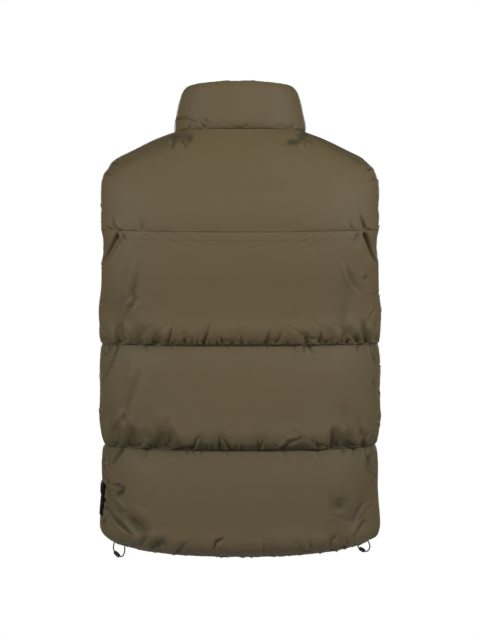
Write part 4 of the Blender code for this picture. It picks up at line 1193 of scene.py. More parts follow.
# Where folds keep the cloth in their shade, by row: (points in the picture, half width in mm, how dark)
SHADES = {
    "yoke": (
        (((174, 137), (181, 138), (188, 138.5)), 9.0, 1.0),
        (((156, 143), (172, 139)), 9.0, 0.42),
        (((305, 135), (299, 138), (291, 142)), 6.0, 0.90),
        (((304, 135), (305, 143)), 4.0, 0.40),
        (((113, 167), (128, 158), (146, 151), (166, 144)), 12.0, 0.38),
        (((118, 158), (128, 152), (142, 146)), 8.0, 0.36),
        
        (((311, 138), (326, 143), (344, 151), (360, 161)), 7.5, 0.46),
        (((104, 174), (108, 167)), 5.0, 0.35),
        (((113, 161), (124, 152), (138, 146), (152, 141), (166, 136)), 4.0, 0.50),
        (((312, 136), (328, 141), (340, 147), (352, 153), (364, 161), (371, 168)), 4.0, 0.50),
        (((170, 134), (175, 135)), 4.0, 0.95),
        (((303, 133), (307, 134)), 4.0, 0.95),
    ),
    "upper": (
        (((117, 237), (110, 248), (104, 259)), 5.5, 0.35),
        (((367, 237), (372, 250), (376, 259)), 4.5, 0.35),
        (((363, 343), (364, 332), (363.5, 321)), 6.0, 0.45),
        (((369, 343), (367, 335)), 7.0, 0.40),
        (((116, 343), (118, 333), (119, 326)), 5.0, 0.30),
        (((132, 343), (150, 340), (168, 342)), 9.0, 0.28),
        (((310, 343), (330, 341), (352, 343)), 8.0, 0.18),
        (((203, 343), (208, 331)), 2.6, 0.30),
        (((125, 328), (130, 306), (136, 278)), 7.0, 0.14),
        (((113, 300), (124, 314), (142, 326)), 17.0, 0.26),
        (((342, 290), (345, 304), (338, 314)), 14.0, 0.20),
    ),
    "middle": (
        (((127, 446), (130, 438), (134, 432)), 12.0, 0.34),
        (((114, 408), (130, 416), (150, 420)), 18.0, 0.24),
        (((341, 410), (352, 418), (362, 424)), 16.0, 0.26),
        (((160, 442), (170, 436), (178, 442)), 9.0, 0.22),
        (((150, 449), (160, 442), (168, 446)), 11.0, 0.30),
        (((168, 449), (186, 449), (200, 450)), 6.0, 0.30),
        (((196, 450), (215, 446), (228, 449)), 9.0, 0.30),
        (((226, 451), (256, 451), (290, 450), (322, 449)), 6.0, 0.24),
        (((108, 447), (122, 448)), 8.0, 0.30),
        (((350, 447), (370, 446)), 8.0, 0.30),
        (((330, 449), (336, 442), (350, 446)), 9.0, 0.34),
        (((117, 349), (112, 361), (106, 376)), 3.6, 0.35),
        (((103, 349), (107, 354), (111, 349)), 4.0, 0.30),
        (((105, 366), (107, 374)), 4.5, 0.25),
        (((373, 350), (375, 362)), 3.6, 0.35),
    ),
    "hem": (
        (((128, 517), (136, 525), (144, 534)), 9.0, 0.42),
        (((150, 547), (158, 544), (164, 542)), 7.5, 0.45),
        (((110, 514), (120, 525), (131, 536)), 3.0, 0.40),
        (((118, 487), (123, 489), (119, 495)), 4.0, 0.35),
        (((110, 496), (122, 512), (142, 526)), 17.0, 0.26),
        (((338, 500), (346, 512), (336, 526)), 20.0, 0.30),
        (((362, 488), (362, 504), (356, 520)), 14.0, 0.22),
        (((104, 480), (105, 500)), 8.0, 0.30),
        (((104, 487), (107, 497), (106, 508)), 6.0, 0.30),
        (((121, 453), (113, 463)), 3.0, 0.40),
        (((369, 457), (370, 470)), 6.0, 0.40),
        (((345, 496), (347, 509)), 8.0, 0.28),
        (((365, 521), (355, 536)), 4.0, 0.35),
        (((170, 551), (230, 553), (300, 551), (335, 547)), 4.5, 0.12),
        (((119, 540), (140, 547), (170, 551)), 4.0, 0.25),
    ),
    "collar": (
        (((301, 132.5), (305, 131)), 3.2, 0.80),
        (((173, 133), (177, 132.5)), 2.6, 0.60),
        (((178, 119), (186, 117.5), (195, 121)), 2.4, 0.25),
        
    ),
}


def shade_field(panel, shades):
    """How deep in its folds' shade each point lies, as the back shows it."""
    at = seen(panel["outer"])
    dark = np.zeros(at.shape[:2])
    for spots, half, weight in shades:
        line = np.array(spots, float)
        best = np.full(at.shape[:2], 1e9)
        for a, b in zip(line[:-1], line[1:]):
            t = (b - a) / max(np.linalg.norm(b - a), 1e-9)
            along = np.clip(((at - a) * t).sum(axis=2), 0, np.linalg.norm(b - a))
            best = np.minimum(best, np.linalg.norm(at - a - along[..., None] * t, axis=2))
        dark = np.maximum(dark, weight * np.exp(-((best * PX / (half / 1000)) ** 2.6)))
    return dark * np.clip((panel["normal"][..., 1] + 0.10) / 0.30, 0, 1)


def like_those(panel, low_count, high_count, side_count, rng, strength=1.0):
    """Creases for a panel that no view of the back shows: unlike in length, depth and spacing, close along the lower edge and few along the upper."""
    wide = panel["across"][-1].min()
    tall = panel["up"][:, -1].min()
    made = []

    def spots(count, margin):
        gaps = rng.uniform(0.25, 1.9, count + 1)
        return margin + (wide - 2 * margin) * np.cumsum(gaps)[:-1] / gaps.sum()

    for x in spots(low_count, 0.012):
        kind = rng.choice(4, p=(0.45, 0.25, 0.2, 0.1))
        lean = rng.uniform(-0.7, 0.7)
        if kind == 0:  # a short pucker
            reach, half, deep = rng.uniform(0.010, 0.020), rng.uniform(2.4, 3.0), rng.uniform(1.2, 2.2)
        elif kind == 1:  # a longer slanted fold
            reach, half, deep = rng.uniform(0.022, 0.045), rng.uniform(2.8, 3.6), rng.uniform(1.8, 2.8)
            lean *= 1.5
        elif kind == 2:  # a soft hollow
            reach, half, deep = rng.uniform(0.025, 0.050), rng.uniform(7, 12), rng.uniform(2.0, 3.2)
        else:  # a ridge
            reach, half, deep = rng.uniform(0.020, 0.040), rng.uniform(3.0, 5.0), -rng.uniform(1.2, 1.8)
        line = np.array([(x, 0.0), (x + lean * reach * 0.4, reach * 0.55), (x + lean * reach, reach)])
        made.append((line, half / 1000, strength * deep / 1000, False, rng.choice((-1, 1))))
    for x in spots(high_count, 0.015):
        reach, lean = rng.uniform(0.008, 0.024), rng.uniform(-0.8, 0.8)
        top = float(np.interp(x, panel["across"][:, -1], panel["up"][:, -1]))
        line = np.array([(x, top), (x + lean * reach, top - reach)])
        made.append((line, rng.uniform(0.0024, 0.0034), rng.uniform(0.0008, 0.0019), False, rng.choice((-1, 1))))
    for y in rng.uniform(0.1, 0.9, side_count) * tall:
        reach, lean = rng.uniform(0.012, 0.035), rng.uniform(-0.9, 0.9)
        for edge, way in ((0.0, 1), (float(np.interp(y, panel["up"][-1], panel["across"][-1])), -1)):
            if rng.random() < 0.7:
                line = np.array([(edge, y), (edge + way * reach, y + lean * reach)])
                made.append((line, rng.uniform(0.0028, 0.0045), rng.uniform(0.0010, 0.0022), False, rng.choice((-1, 1))))
    for _ in range(2):  # long soft ridges and hollows of the filling
        x, y = rng.uniform(0.15, 0.85) * wide, rng.uniform(0.35, 0.75) * tall
        dx, dy = rng.uniform(-0.02, 0.02), rng.uniform(0.02, 0.045)
        line = np.array([(x - dx, y - dy), (x, y), (x + dx, y + dy)])
        made.append((line, rng.uniform(0.005, 0.009), rng.choice((-1, 1)) * rng.uniform(0.0010, 0.0016), True, 1))
    return made


def side_crumples(panel, both, count, longest, rng):
    """Short creases that start at the side seam, where the quilting draws the shell in, and at both sides of the back."""
    wide, tall = panel["across"][-1], panel["up"][:, -1].min()
    made = []
    for right in ((False, True) if both else (True,)):
        for y in np.sort(rng.uniform(0.02, 0.98, count)) * tall:
            reach, lean = rng.uniform(0.25, 1.0) * longest, rng.uniform(-0.9, 0.9)
            edge = float(np.interp(y, panel["up"][-1], wide)) if right else 0.0
            way = -1 if right else 1
            line = np.array([(edge, y), (edge + way * reach * 0.5, y + lean * reach * 0.35), (edge + way * reach, y + lean * reach)])
            made.append((line, rng.uniform(0.0018, 0.0030), rng.uniform(0.0008, 0.0019), False, rng.choice((-1, 1))))
    return made


def prepared(name, table, levels, stations, side, behind, low, high, lofts, creases, rng, pressure, gather, skirts=None):
    """A panel ready for the simulation: its puffed shape with the creases pressed in, and the flat cut that it is sewn from."""
    panel = puffed(table, levels, stations, side, behind, low, high, lofts, skirts, rng)
    panel["pressure"] = pressure
    turn = np.cross(panel["outer"][1:, 1:] - panel["outer"][:-1, 1:], panel["outer"][1:, 1:] - panel["outer"][1:, :-1])
    panel["along_back"] = float((turn * panel["normal"][1:, 1:]).sum()) < 0
    outer, normal, up = panel["outer"], panel["normal"], panel["up"]
    if creases is None:
        calm = low == "yoke_fold"  # the seam under the yoke is nearly flat
        made = like_those(panel, *rng.integers((3, 4, 2) if calm else (7, 4, 2), (5, 6, 3) if calm else (11, 7, 4)), rng, 0.6 if calm else 1.0)
    else:
        made = []
        for spots, half, deep in creases:
            line = place_on(panel, np.array(spots, float))
            tall = up.mean(axis=0)[-1]
            away = min(line[0, 1], tall - line[0, 1], *line[:, 1], *(tall - line[:, 1]))
            made.append((line, half / 1000, deep / 1000, bool(away > 0.009), rng.choice((-1, 1))))
    if table is BODY:
        made += side_crumples(panel, side == 0, 5 if side == 0 else 7, 0.018 if side == 0 else 0.042, rng)
    depth, widen = crease_fields(panel, made)
    edge = np.minimum(up, up[:, -1:] - up)
    border = np.clip(np.minimum(edge, np.minimum(panel["across"], panel["across"][-1:] - panel["across"])) / 0.004, 0, 1)
    depth *= border
    panel["start"] = outer + normal * (0.8 * depth)[..., None]
    # The cut: as wide everywhere as the crown, gathered into the seams unevenly, more where a crease starts.
    along = np.cumsum(np.linalg.norm(np.diff(outer, axis=0, prepend=outer[:1]), axis=2), axis=0)
    rise = np.cumsum(np.linalg.norm(np.diff(outer, axis=1, prepend=outer[:, :1]), axis=2), axis=1)
    crown = along[-1].max()
    tall = rise.mean(axis=0)[-1]
    t = np.linspace(0, 1, outer.shape[1])
    lower = 1 / (1 + np.exp((t - 0.45) / 0.09))
    near_low, near_high = np.exp(-((t * tall / 0.022) ** 2)), np.exp(-(((1 - t) * tall / 0.018) ** 2))
    width = along[-1] * (1 + (crown / along[-1] - 1) * (0.62 + 0.38 * lower) + gather[0] * near_low + gather[1] * near_high)
    step = np.diff(along, axis=0)
    uneven = np.ones_like(step)
    for line, half, deep, _, _ in made:
        start = line[0]
        at_low = start[1] < 0.35 * up.mean(axis=0)[-1]
        reach = near_low if at_low else near_high
        spot = np.exp(-(((panel["across"][:-1] + panel["across"][1:]) / 2 - start[0]) / (1.3 * half)) ** 2)
        uneven += 0.30 * min(abs(deep) / 0.002, 1.5) * spot * reach[None, :]
    step = step * uneven
    cut = np.concatenate([np.zeros((1, step.shape[1])), np.cumsum(step, axis=0)])
    cut *= width / cut[-1]
    centre = cut[len(cut) // 2] if side == 0 else 0
    cut = cut - centre
    flat = np.zeros_like(outer)
    flat[..., 0] = (cut + widen[..., 0])
    flat[..., 2] = rise * 1.012 + widen[..., 1]
    if side < 0:
        flat[..., 0] *= -1
    panel["flat"] = flat
    panel["depth"] = depth
    panel["shade"] = shade_field(panel, SHADES[name.split("_")[-1]]) if creases is not None else np.zeros_like(depth)
    panel["creases"] = made
    return panel


def grid_normals(points, outward):
    """Normals of a grid of points, on the side that outward is on."""
    n = unit(np.cross(np.gradient(points, axis=0), np.gradient(points, axis=1)))
    return n * np.where((n * outward).sum(axis=2, keepdims=True) < 0, -1, 1)


def arcs(points):
    """Distances along the two axes of a grid."""
    across = np.cumsum(np.linalg.norm(np.diff(points, axis=0, prepend=points[:1]), axis=2), axis=0)
    up = np.cumsum(np.linalg.norm(np.diff(points, axis=1, prepend=points[:, :1]), axis=2), axis=1)
    return across, up


def border_of(n, m):
    """The indices round the edge of an n by m grid, in order."""
    index = np.arange(n * m).reshape(n, m)
    return np.concatenate([index[:-1, 0], index[-1, :-1], index[:0:-1, -1], index[0, :0:-1]])


def panel_object(name, panel, bulge):
    """The closed visual piece: outer skin at full detail, lining at half, and a rim between them that rounds out by bulge on free edges."""
    outer, inner = panel["final"], panel["lining"]
    n, m = outer.shape[:2]
    p, q = inner.shape[:2]
    ring, lining_ring = border_of(n, m), border_of(p, q)
    flat_outer = outer.reshape(-1, 3)
    # the lining's edge under each point of the outer edge
    spread_ring = np.empty((len(ring), 3))
    spread_ring[::2] = inner.reshape(-1, 3)[lining_ring]
    spread_ring[1::2] = (spread_ring[::2] + np.roll(spread_ring[::2], -1, axis=0)) / 2
    away = np.zeros_like(outer)
    away[0] += outer[0] - outer[1]
    away[-1] += outer[-1] - outer[-2]
    away[:, 0] += outer[:, 0] - outer[:, 1]
    away[:, -1] += outer[:, -1] - outer[:, -2]
    away = unit(away).reshape(-1, 3)[ring]
    out_edge = flat_outer[ring]
    push = bulge.reshape(-1)[ring][:, None]
    rows = []
    for share, swell in ((0.22, 0.75), (0.5, 1.0), (0.78, 0.75)):
        rows.append(out_edge * (1 - share) + spread_ring * share + away * push * swell)
    count = len(ring)
    points = np.concatenate([flat_outer, *rows, inner.reshape(-1, 3)])
    a = np.arange(n * m).reshape(n, m)
    skin_faces = np.stack([a[:-1, :-1], a[:-1, 1:], a[1:, 1:], a[1:, :-1]], axis=-1).reshape(-1, 4)
    base = n * m
    k, following = np.arange(count), np.roll(np.arange(count), -1)
    rims = [np.stack([ring, ring[following], base + following, base + k], axis=-1)]
    for row in range(2):
        low, high = base + row * count, base + (row + 1) * count
        rims.append(np.stack([low + k, low + following, high + following, high + k], axis=-1))
    last, start = base + 2 * count, base + 3 * count
    e = np.arange(0, count, 2)
    half, half_next = start + lining_ring, start + np.roll(lining_ring, -1)
    fans = np.stack([last + e, last + e + 1, last + (e + 2) % count, half_next, half], axis=-1)
    b = start + np.arange(p * q).reshape(p, q)
    lining_faces = np.stack([b[:-1, :-1], b[1:, :-1], b[1:, 1:], b[:-1, 1:]], axis=-1).reshape(-1, 4)
    faces = [skin_faces, np.concatenate(rims), lining_faces, fans]
    if not panel["along_back"]:
        faces = [f[:, ::-1] for f in faces]
    # The rim was wound for a grid whose faces turn the other way.
    across, up = arcs(outer)
    uv = np.stack([across, up], axis=-1).reshape(-1, 2)
    inner_across, inner_up = arcs(inner)
    inner_uv = np.stack([inner_across, inner_up], axis=-1).reshape(-1, 2)
    uv = np.concatenate([uv, uv[ring], uv[ring], uv[ring], inner_uv])
    mesh = filled_mesh(name, points, faces, uv)
    # Painted shade for the material: the skin takes the shade of its hollows and undersides, the rims between skin and
    # lining a fixed half of it, and the lining none.
    edge = mesh.attributes.new("pinch", "FLOAT", "POINT")
    near = np.minimum(np.minimum(up, up[:, -1:] - up), np.minimum(across, across[-1:] - across))
    near = np.clip(0.62 * panel["cavity"] + panel["under"], 0, 1)
    inner_near = np.zeros(p * q)
    values = np.concatenate([near.reshape(-1), np.full(3 * count, 0.5), inner_near])
    if len(values) == len(mesh.vertices):
        edge.data.foreach_set("value", values.astype(np.float32))
    obj = bpy.data.objects.new(name, mesh)
    bpy.context.scene.collection.objects.link(obj)
    fix_winding(mesh)
    return obj




# ====================================================== the twelve baffles and the collar
SIDE_EDGES = side_edges()
LOFTS = (LOFT_OUT, LOFT_IN)
panels = {}
for row, (first, last, low, high) in ROWS.items():
    levels = levels_between(BODY, first, last, 68)
    gather = {"hem": (0.008, 0.0), "middle": (0.012, 0.004), "upper": (0.010, 0.0), "yoke": (0.0, 0.012)}[row]
    panels["back_" + row] = prepared("back_" + row, BODY, levels, np.linspace(0, 1, 113), 0, True, low, high, LOFTS, SEEN_CREASES[row], RNG, 34, gather, SKIRTS[row])
    levels = levels_between(BODY, first, last, 54)
    for side, word in ((1, "left"), (-1, "right")):
        name = f"front_{word}_{row}"
        panels[name] = prepared(name, BODY, levels, np.linspace(0, 1, 89), side, False, low, high, LOFTS, None, RNG, 34, gather)
levels = levels_between(COLLAR, 0, COLLAR_TOP, 34)
panels["collar"] = prepared("collar", COLLAR, levels, np.linspace(0, 1, 78), 0, True, "collar_base", "collar_top", (COLLAR_LOFT_OUT, COLLAR_LOFT_IN), SEEN_CREASES["collar"], RNG, 30, (0.02, 0.03), ())

settled(panels)




def loosened(fine, panel, up, edge, sides, size, rng):
    """Free edges are never quite straight: at the hem, the armholes and the top of the collar."""
    n, m = fine.shape[:2]
    move = np.zeros_like(fine)
    below = unit(fine[:, :1] - fine[:, 1:2])
    above = unit(fine[:, -1:] - fine[:, -2:-1])
    wave = blotches((n, m), size, (0.016, 0.5), rng) + 0.7 * blotches((n, m), size, (0.006, 0.5), rng)
    calm = np.clip(sides / 0.012, 0, 1)
    if panel["low"] == "hem":
        notch = np.abs(blotches((n, m), size, (0.008, 0.5), rng))
        move += below * ((0.0024 + 0.0021 * wave - 0.0016 * np.exp(-((notch / 0.16) ** 2))) * calm * np.exp(-((up / 0.011) ** 2)))[..., None]
    if panel["low"] == "yoke_fold":
        move += below * (0.00026 * np.exp(-((up / 0.004) ** 2)))[..., None]
    if panel["high"] == "yoke_seam":
        move += above * (0.00026 * np.exp(-(((up[:, -1:] - up) / 0.004) ** 2)))[..., None]
    if panel["high"] == "collar_top":
        move += above * (0.0011 * wave * calm * np.exp(-(((up[:, -1:] - up) / 0.009) ** 2)))[..., None]
    ripple = blotches((n, m), size, (0.5, 0.015), rng) + 0.5 * blotches((n, m), size, (0.5, 0.006), rng)
    level = np.interp(np.linspace(0, 1, m), np.linspace(0, 1, len(panel["levels"])), panel["levels"])
    free = np.clip((level - 2.50) / 0.10, 0, 1) * np.clip((3.90 - level) / 0.10, 0, 1) * np.clip(edge / 0.010, 0, 1)
    if panel["low"] in ("upper_seam", "yoke_fold"):
        across = np.cumsum(np.linalg.norm(np.diff(fine, axis=0, prepend=fine[:1]), axis=2), axis=0)
        outer_side = unit(fine[-1:] - fine[-2:-1])
        move += outer_side * (0.0016 * ripple * free * np.exp(-(((across[-1:] - across) / 0.010) ** 2)))[..., None]
        # Beside the armholes, and again just under the yoke's seam, the side folds draw the sides in.
        row = seen(fine)[..., 1]
        drawn = 0.0026 * np.exp(-(((row - 198) / 14) ** 4)) + 0.0036 * np.exp(-(((row - 246) / 13) ** 4))
        drawn += 0.0032 * np.exp(-(((row - np.where(fine[..., 0] > 0, 167.5, 161.5)) / 4) ** 2))
        move[..., 0] -= np.sign(fine[..., 0]) * drawn * np.clip((np.abs(fine[..., 0]) - 0.195) / 0.035, 0, 1)
        if panel["both_open"]:
            other_side = unit(fine[:1] - fine[1:2])
            move += other_side * (0.0016 * ripple * free * np.exp(-((across / 0.010) ** 2)))[..., None]
    return move


def shaped(panel, rng, cap=0.0075, keep_low=0.2):
    """The settled cloth's creases on the puffed shape, at full detail, with the finest crumples of a thin nylon added."""
    moved = panel["settled"] - panel["outer"]
    length = np.linalg.norm(moved, axis=2, keepdims=True)
    moved *= cap * np.tanh(length / cap) / np.maximum(length, 1e-9)
    slow = blurred(moved, 120)
    # The simulated wrinkles stay strong at the gathered lower edge and are soft elsewhere, where the filling holds the cloth out.
    kept = 0.35 + 0.75 * np.exp(-((panel["up"] / 0.018) ** 2))
    points = panel["outer"] + kept[..., None] * (moved - slow) + keep_low * slow
    n, m = panel["detail"]
    fine = resampled(points, n, m)
    outward = resampled(panel["normal"], n, m)
    flat = {"across": resampled(panel["across"], n, m), "up": resampled(panel["up"], n, m)}
    rise = np.minimum(flat["up"], flat["up"][:, -1:] - flat["up"])
    run = np.minimum(flat["across"], flat["across"][-1:] - flat["across"])
    pressed = crease_fields(flat, panel["creases"])[0] * np.clip(np.minimum(rise, run) / 0.003, 0, 1)
    fine = fine + outward * (1.75 * pressed)[..., None]
    normal = grid_normals(fine, outward)
    across, up = arcs(fine)
    size = (float(across[-1].mean()), float(up[:, -1].mean()))
    edge = np.minimum(up, up[:, -1:] - up)
    sides = np.minimum(across, across[-1:] - across)
    inside = np.clip(np.minimum(edge, sides) / 0.004, 0, 1)
    shape = fine.shape[:2]
    soft = blotches(shape, size, (0.034, 0.040), rng)
    small = blotches(shape, size, (0.012, 0.016), rng)
    gathered = blotches(shape, size, (0.0055, 0.018), rng)
    height = 0.00045 * soft + 0.00014 * small * (0.5 + np.abs(soft))
    height += 0.00030 * gathered * np.exp(-edge / 0.009)
    # The gathered lower edge: uneven puckers with sharp valleys between them, longer in some places than in others.
    reach = 0.007 + 0.006 * (1 + blotches(shape, size, (0.030, 0.5), rng))
    strong = 0.35 + 0.65 * np.clip(0.5 + blotches(shape, size, (0.055, 0.5), rng), 0, 1)
    veins = blotches(shape, size, (0.0095, 0.024), rng) + 0.25 * blotches(shape, size, (0.004, 0.006), rng)
    valley = np.exp(-((np.abs(veins) / 0.13) ** 1.4))
    pillow = np.clip(np.abs(veins) - 0.15, 0, 0.6)
    height += panel["tuft"] * strong * (pillow - 0.9 * valley) * np.exp(-((up / reach) ** 1.5))
    fine = fine + normal * (height * inside)[..., None]
    fine = fine + loosened(fine, panel, up, edge, sides, size, rng)
    panel["final"] = fine
    # How deep each point lies between its neighbours, for painted shade in the folds of this cloth.
    around = blurred(fine, 14, held=False)
    sunk = -((fine - around) * normal).sum(axis=2)
    panel["cavity"] = np.clip((sunk - 0.00012) / 0.0011, 0, 1) * np.clip(np.minimum(edge, sides) / 0.004, 0, 1)
    panel["final_normal"] = grid_normals(fine, outward)
    # Painted shade on the underside of the filling, tucked in over the seam.
    tilt = np.clip((-panel["final_normal"][..., 2] - 0.22) / 0.45, 0, 1)
    panel["under"] = tilt * tilt * (3 - 2 * tilt) * np.exp(-((up / 0.040) ** 2)) * np.clip(up / 0.001, 0, 1)
    tilted, tucked = {"upper_seam": (0.04, 0.06), "hem": (0.26, 0.24)}.get(panel["low"], (0.48, 0.28))
    panel["under"] = tilted * panel["under"] + tucked * np.clip(resampled(panel["tucked"], n, m), 0, 1)
    # Painted shade in the pressed creases.
    panel["under"] += 0.40 * np.clip((-pressed - 0.0006) / 0.0022, 0, 1)
    uneven = 1 + 0.35 * blotches(shape, size, (0.010, 0.012), rng)
    # Painted shade of the listed folds, made patchy.
    panel["under"] += np.clip(resampled(panel["shade"], n, m), 0, 1) * uneven
    # Painted shade on the upward-facing top by the neck.
    if panel["high"] == "neck":
        top = np.clip((panel["final_normal"][..., 2] - 0.42) / 0.38, 0, 1)
        panel["under"] += 0.02 * top * top * (3 - 2 * top)
    # Painted shade, darker towards the hem.
    panel["under"] += 0.17 * np.clip((-0.36 - fine[..., 2]) / 0.20, 0, 1)
    # Painted shade along the lower seam, and under the overhang of the row above at the upper edge.
    panel["under"] += {"yoke_fold": 0.0, "upper_seam": 0.03}.get(panel["low"], 0.13) * np.exp(-up / 0.008)
    panel["under"] += 0.42 * np.exp(-(up[:, -1:] - up) / 0.022) * (panel["high"] == "under_seam")
    half = ((n + 1) // 2, (m + 1) // 2)
    rise = resampled(np.minimum(panel["up"], panel["up"][:, -1:] - panel["up"]), *half)
    wave = blotches(half, size, (0.020, 0.030), rng) * 0.0012 * np.clip(rise / 0.02, 0, 1)
    panel["lining"] = resampled(panel["inner"], *half) + resampled(panel["normal"], *half) * wave[..., None]


def free_edges(name, panel):
    """How far the folded edge rounds out, at each point of the border: at the hem, armholes, front edges and collar top."""
    n, m = panel["final"].shape[:2]
    swell = np.zeros((n, m))
    full = 0.0015
    if name.endswith("hem"):
        swell[:, 0] = full
    if name == "collar":
        swell[:, -1] = full
        swell[0] = swell[-1] = 0.0010
    if name.startswith("front"):
        swell[0] = 0.0010
    if name.endswith(("upper", "yoke")):
        low, high = (2, 3) if name.endswith("upper") else (3, 5)
        level = np.interp(np.linspace(0, 1, m), np.linspace(0, 1, len(panel["levels"])), panel["levels"])
        open_here = np.clip((level - 2.45) / 0.05, 0, 1) * np.clip((3.96 - level) / 0.05, 0, 1) * full
        swell[-1] = np.maximum(swell[-1], open_here)
        if name.startswith("back"):
            swell[0] = open_here
    return swell




for name, panel in panels.items():
    if name == "collar":
        panel["levels"] = levels_between(COLLAR, 0, COLLAR_TOP, 34)
    else:
        first, last = ROWS[name.split("_")[-1]][:2]
        panel["levels"] = levels_between(BODY, first, last, 68 if name.startswith("back") else 54)
    panel["detail"] = (277, 67) if name == "collar" else (381, 109) if name.startswith("back") else (177, 97)
    panel["tuft"] = 0.0006 if name == "collar" else 0.0 if name.endswith("yoke") else 0.0022 if name.endswith("hem") else 0.0034
    panel["low"], panel["high"] = ("collar_base", "collar_top") if name == "collar" else ROWS[name.split("_")[-1]][2:]
    panel["both_open"] = name.startswith("back")
    shaped(panel, RNG)
    obj = panel_object("puff_" + name, panel, free_edges(name, panel))
    obj.data.materials.append(SHELL)
    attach(obj, "vest")
    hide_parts(name)


# ============================================================================ badge
def front_on_x(panel, from_x, ys, zs):
    """How far out in X the panel's skin lies at each (y, z), seen from outside."""
    final = panel["final"]
    n, m = final.shape[:2]
    index = np.arange(n * m).reshape(n, m)
    quads = np.stack([index[:-1, :-1], index[:-1, 1:], index[1:, 1:], index[1:, :-1]], axis=-1).reshape(-1, 4)
    tree = BVHTree.FromPolygons([tuple(p) for p in final.reshape(-1, 3)], [tuple(q) for q in quads])
    out = np.full(ys.shape, np.nan)
    for i in range(ys.shape[0]):
        for j in range(ys.shape[1]):
            hit = tree.ray_cast(Vector((from_x, ys[i, j], zs[i, j])), Vector((-1, 0, 0)))[0]
            if hit is not None:
                out[i, j] = hit.x
    for _ in range(60):  # where the ray misses, the nearest hit counts
        empty = np.isnan(out)
        if not empty.any():
            break
        wide = np.pad(out, 1, constant_values=np.nan)
        near = np.stack([wide[:-2, 1:-1], wide[2:, 1:-1], wide[1:-1, :-2], wide[1:-1, 2:]])
        count = (~np.isnan(near)).sum(axis=0)
        mean = np.where(count > 0, np.nansum(near, axis=0) / np.maximum(count, 1), np.nan)
        out = np.where(empty, mean, out)
    return out


def badge():
    """A bare woven badge, sewn on round its edge and slightly padded in two fields."""
    low_y, high_y, low_z, high_z = -0.0035, 0.0470, -0.6385, -0.5825
    ny, nz = 61, 71
    u, v = np.meshgrid(np.linspace(-1, 1, ny), np.linspace(-1, 1, nz), indexing="ij")
    # a square grid drawn in at its corners
    radius = 0.16
    over_u, over_v = np.clip(np.abs(u) - (1 - radius), 0, None) / radius, np.clip(np.abs(v) - (1 - radius), 0, None) / radius
    length = np.hypot(over_u, over_v)
    shrink = np.where(length > 1e-9, np.maximum(over_u, over_v) / np.maximum(length, 1e-9), 1.0)
    cu = np.where(over_u > 0, np.sign(u) * ((1 - radius) + over_u * shrink * radius), u)
    cv = np.where(over_v > 0, np.sign(v) * ((1 - radius) + over_v * shrink * radius), v)
    ys = (low_y + high_y) / 2 + cu * (high_y - low_y) / 2
    zs = (low_z + high_z) / 2 + cv * (high_z - low_z) / 2
    base = front_on_x(panels["front_left_hem"], 0.40, ys, zs)
    crest = base
    for _ in range(5):  # it lies on the crests of the shell's crumples
        wide = np.pad(crest, 1, mode="edge")
        crest = np.max([wide[1:-1, 1:-1], wide[:-2, 1:-1], wide[2:, 1:-1], wide[1:-1, :-2], wide[1:-1, 2:]], axis=0)
    base = blurred(np.pad(crest, 1, mode="edge"), 70, held=False)[1:-1, 1:-1]
    du = np.gradient(base, axis=0) / np.gradient(ys, axis=0)
    dv = np.gradient(base, axis=1) / np.gradient(zs, axis=1)
    normal = unit(np.stack([np.ones_like(base), -du, -dv], axis=-1))
    under = np.stack([base, ys, zs], axis=-1)
    edge = np.minimum(1 - np.abs(u), 1 - np.abs(v)) * 0.025
    rim = np.clip(edge / 0.0006, 0, 1) ** 0.5
    fields = np.minimum(np.clip(edge / 0.007, 0, 1), np.clip(np.abs(v - 0.16) * 0.0285 / 0.006, 0, 1))
    fields = fields * fields * (3 - 2 * fields)
    border = np.exp(-(((edge - 0.0016) / 0.0011) ** 2))
    groove = np.exp(-(((edge - 0.0038) / 0.0008) ** 2))
    thick = 0.0003 + 0.0009 * rim + (0.0004 + 0.0012 * (v > 0.16)) * fields + 0.0004 * border - 0.0003 * groove
    top = under + normal * thick[..., None]
    bottom = under - normal * 0.0010
    index = np.arange(ny * nz).reshape(ny, nz)
    skin_faces = np.stack([index[:-1, :-1], index[1:, :-1], index[1:, 1:], index[:-1, 1:]], axis=-1).reshape(-1, 4)
    back_faces = skin_faces[:, ::-1] + ny * nz
    ring = border_of(ny, nz)
    nxt = np.roll(ring, -1)
    sides = np.stack([ring, nxt, nxt + ny * nz, ring + ny * nz], axis=-1)
    uv = np.stack([ys, zs], axis=-1).reshape(-1, 2)
    mesh = filled_mesh("bare_badge", np.concatenate([top.reshape(-1, 3), bottom.reshape(-1, 3)]), [skin_faces, back_faces, sides], np.concatenate([uv, uv]))
    obj = object_from("bare_badge", mesh, BADGE, "vest", "black_patch", "side_patch")
    fix_winding(mesh)
    mesh.set_sharp_from_angle(angle=math.radians(50))
    # its sewing: a row of stitches a little in from the edge
    row = []
    for k in range(4):
        a = np.linspace(-0.84, 0.84, 60)
        b = np.full(60, 0.86)
        side_line = [(a, b), (b, -a), (-a, -b), (-b, a)][k]
        row.append(np.stack(side_line, axis=-1))
    row = np.concatenate(row)
    i = (row[:, 0] + 1) / 2 * (ny - 1)
    j = (row[:, 1] + 1) / 2 * (nz - 1)
    points = sampled(top, i, j)
    normals = unit(sampled(grid_normals(top, normal), i, j))
    return obj, points, normals


def sampled(grid, i, j):
    """The grid read at fractional places."""
    i0 = np.clip(i.astype(int), 0, grid.shape[0] - 2)
    j0 = np.clip(j.astype(int), 0, grid.shape[1] - 2)
    s, t = (i - i0)[:, None], (j - j0)[:, None]
    return (grid[i0, j0] * (1 - s) + grid[i0 + 1, j0] * s) * (1 - t) + (grid[i0, j0 + 1] * (1 - s) + grid[i0 + 1, j0 + 1] * s) * t


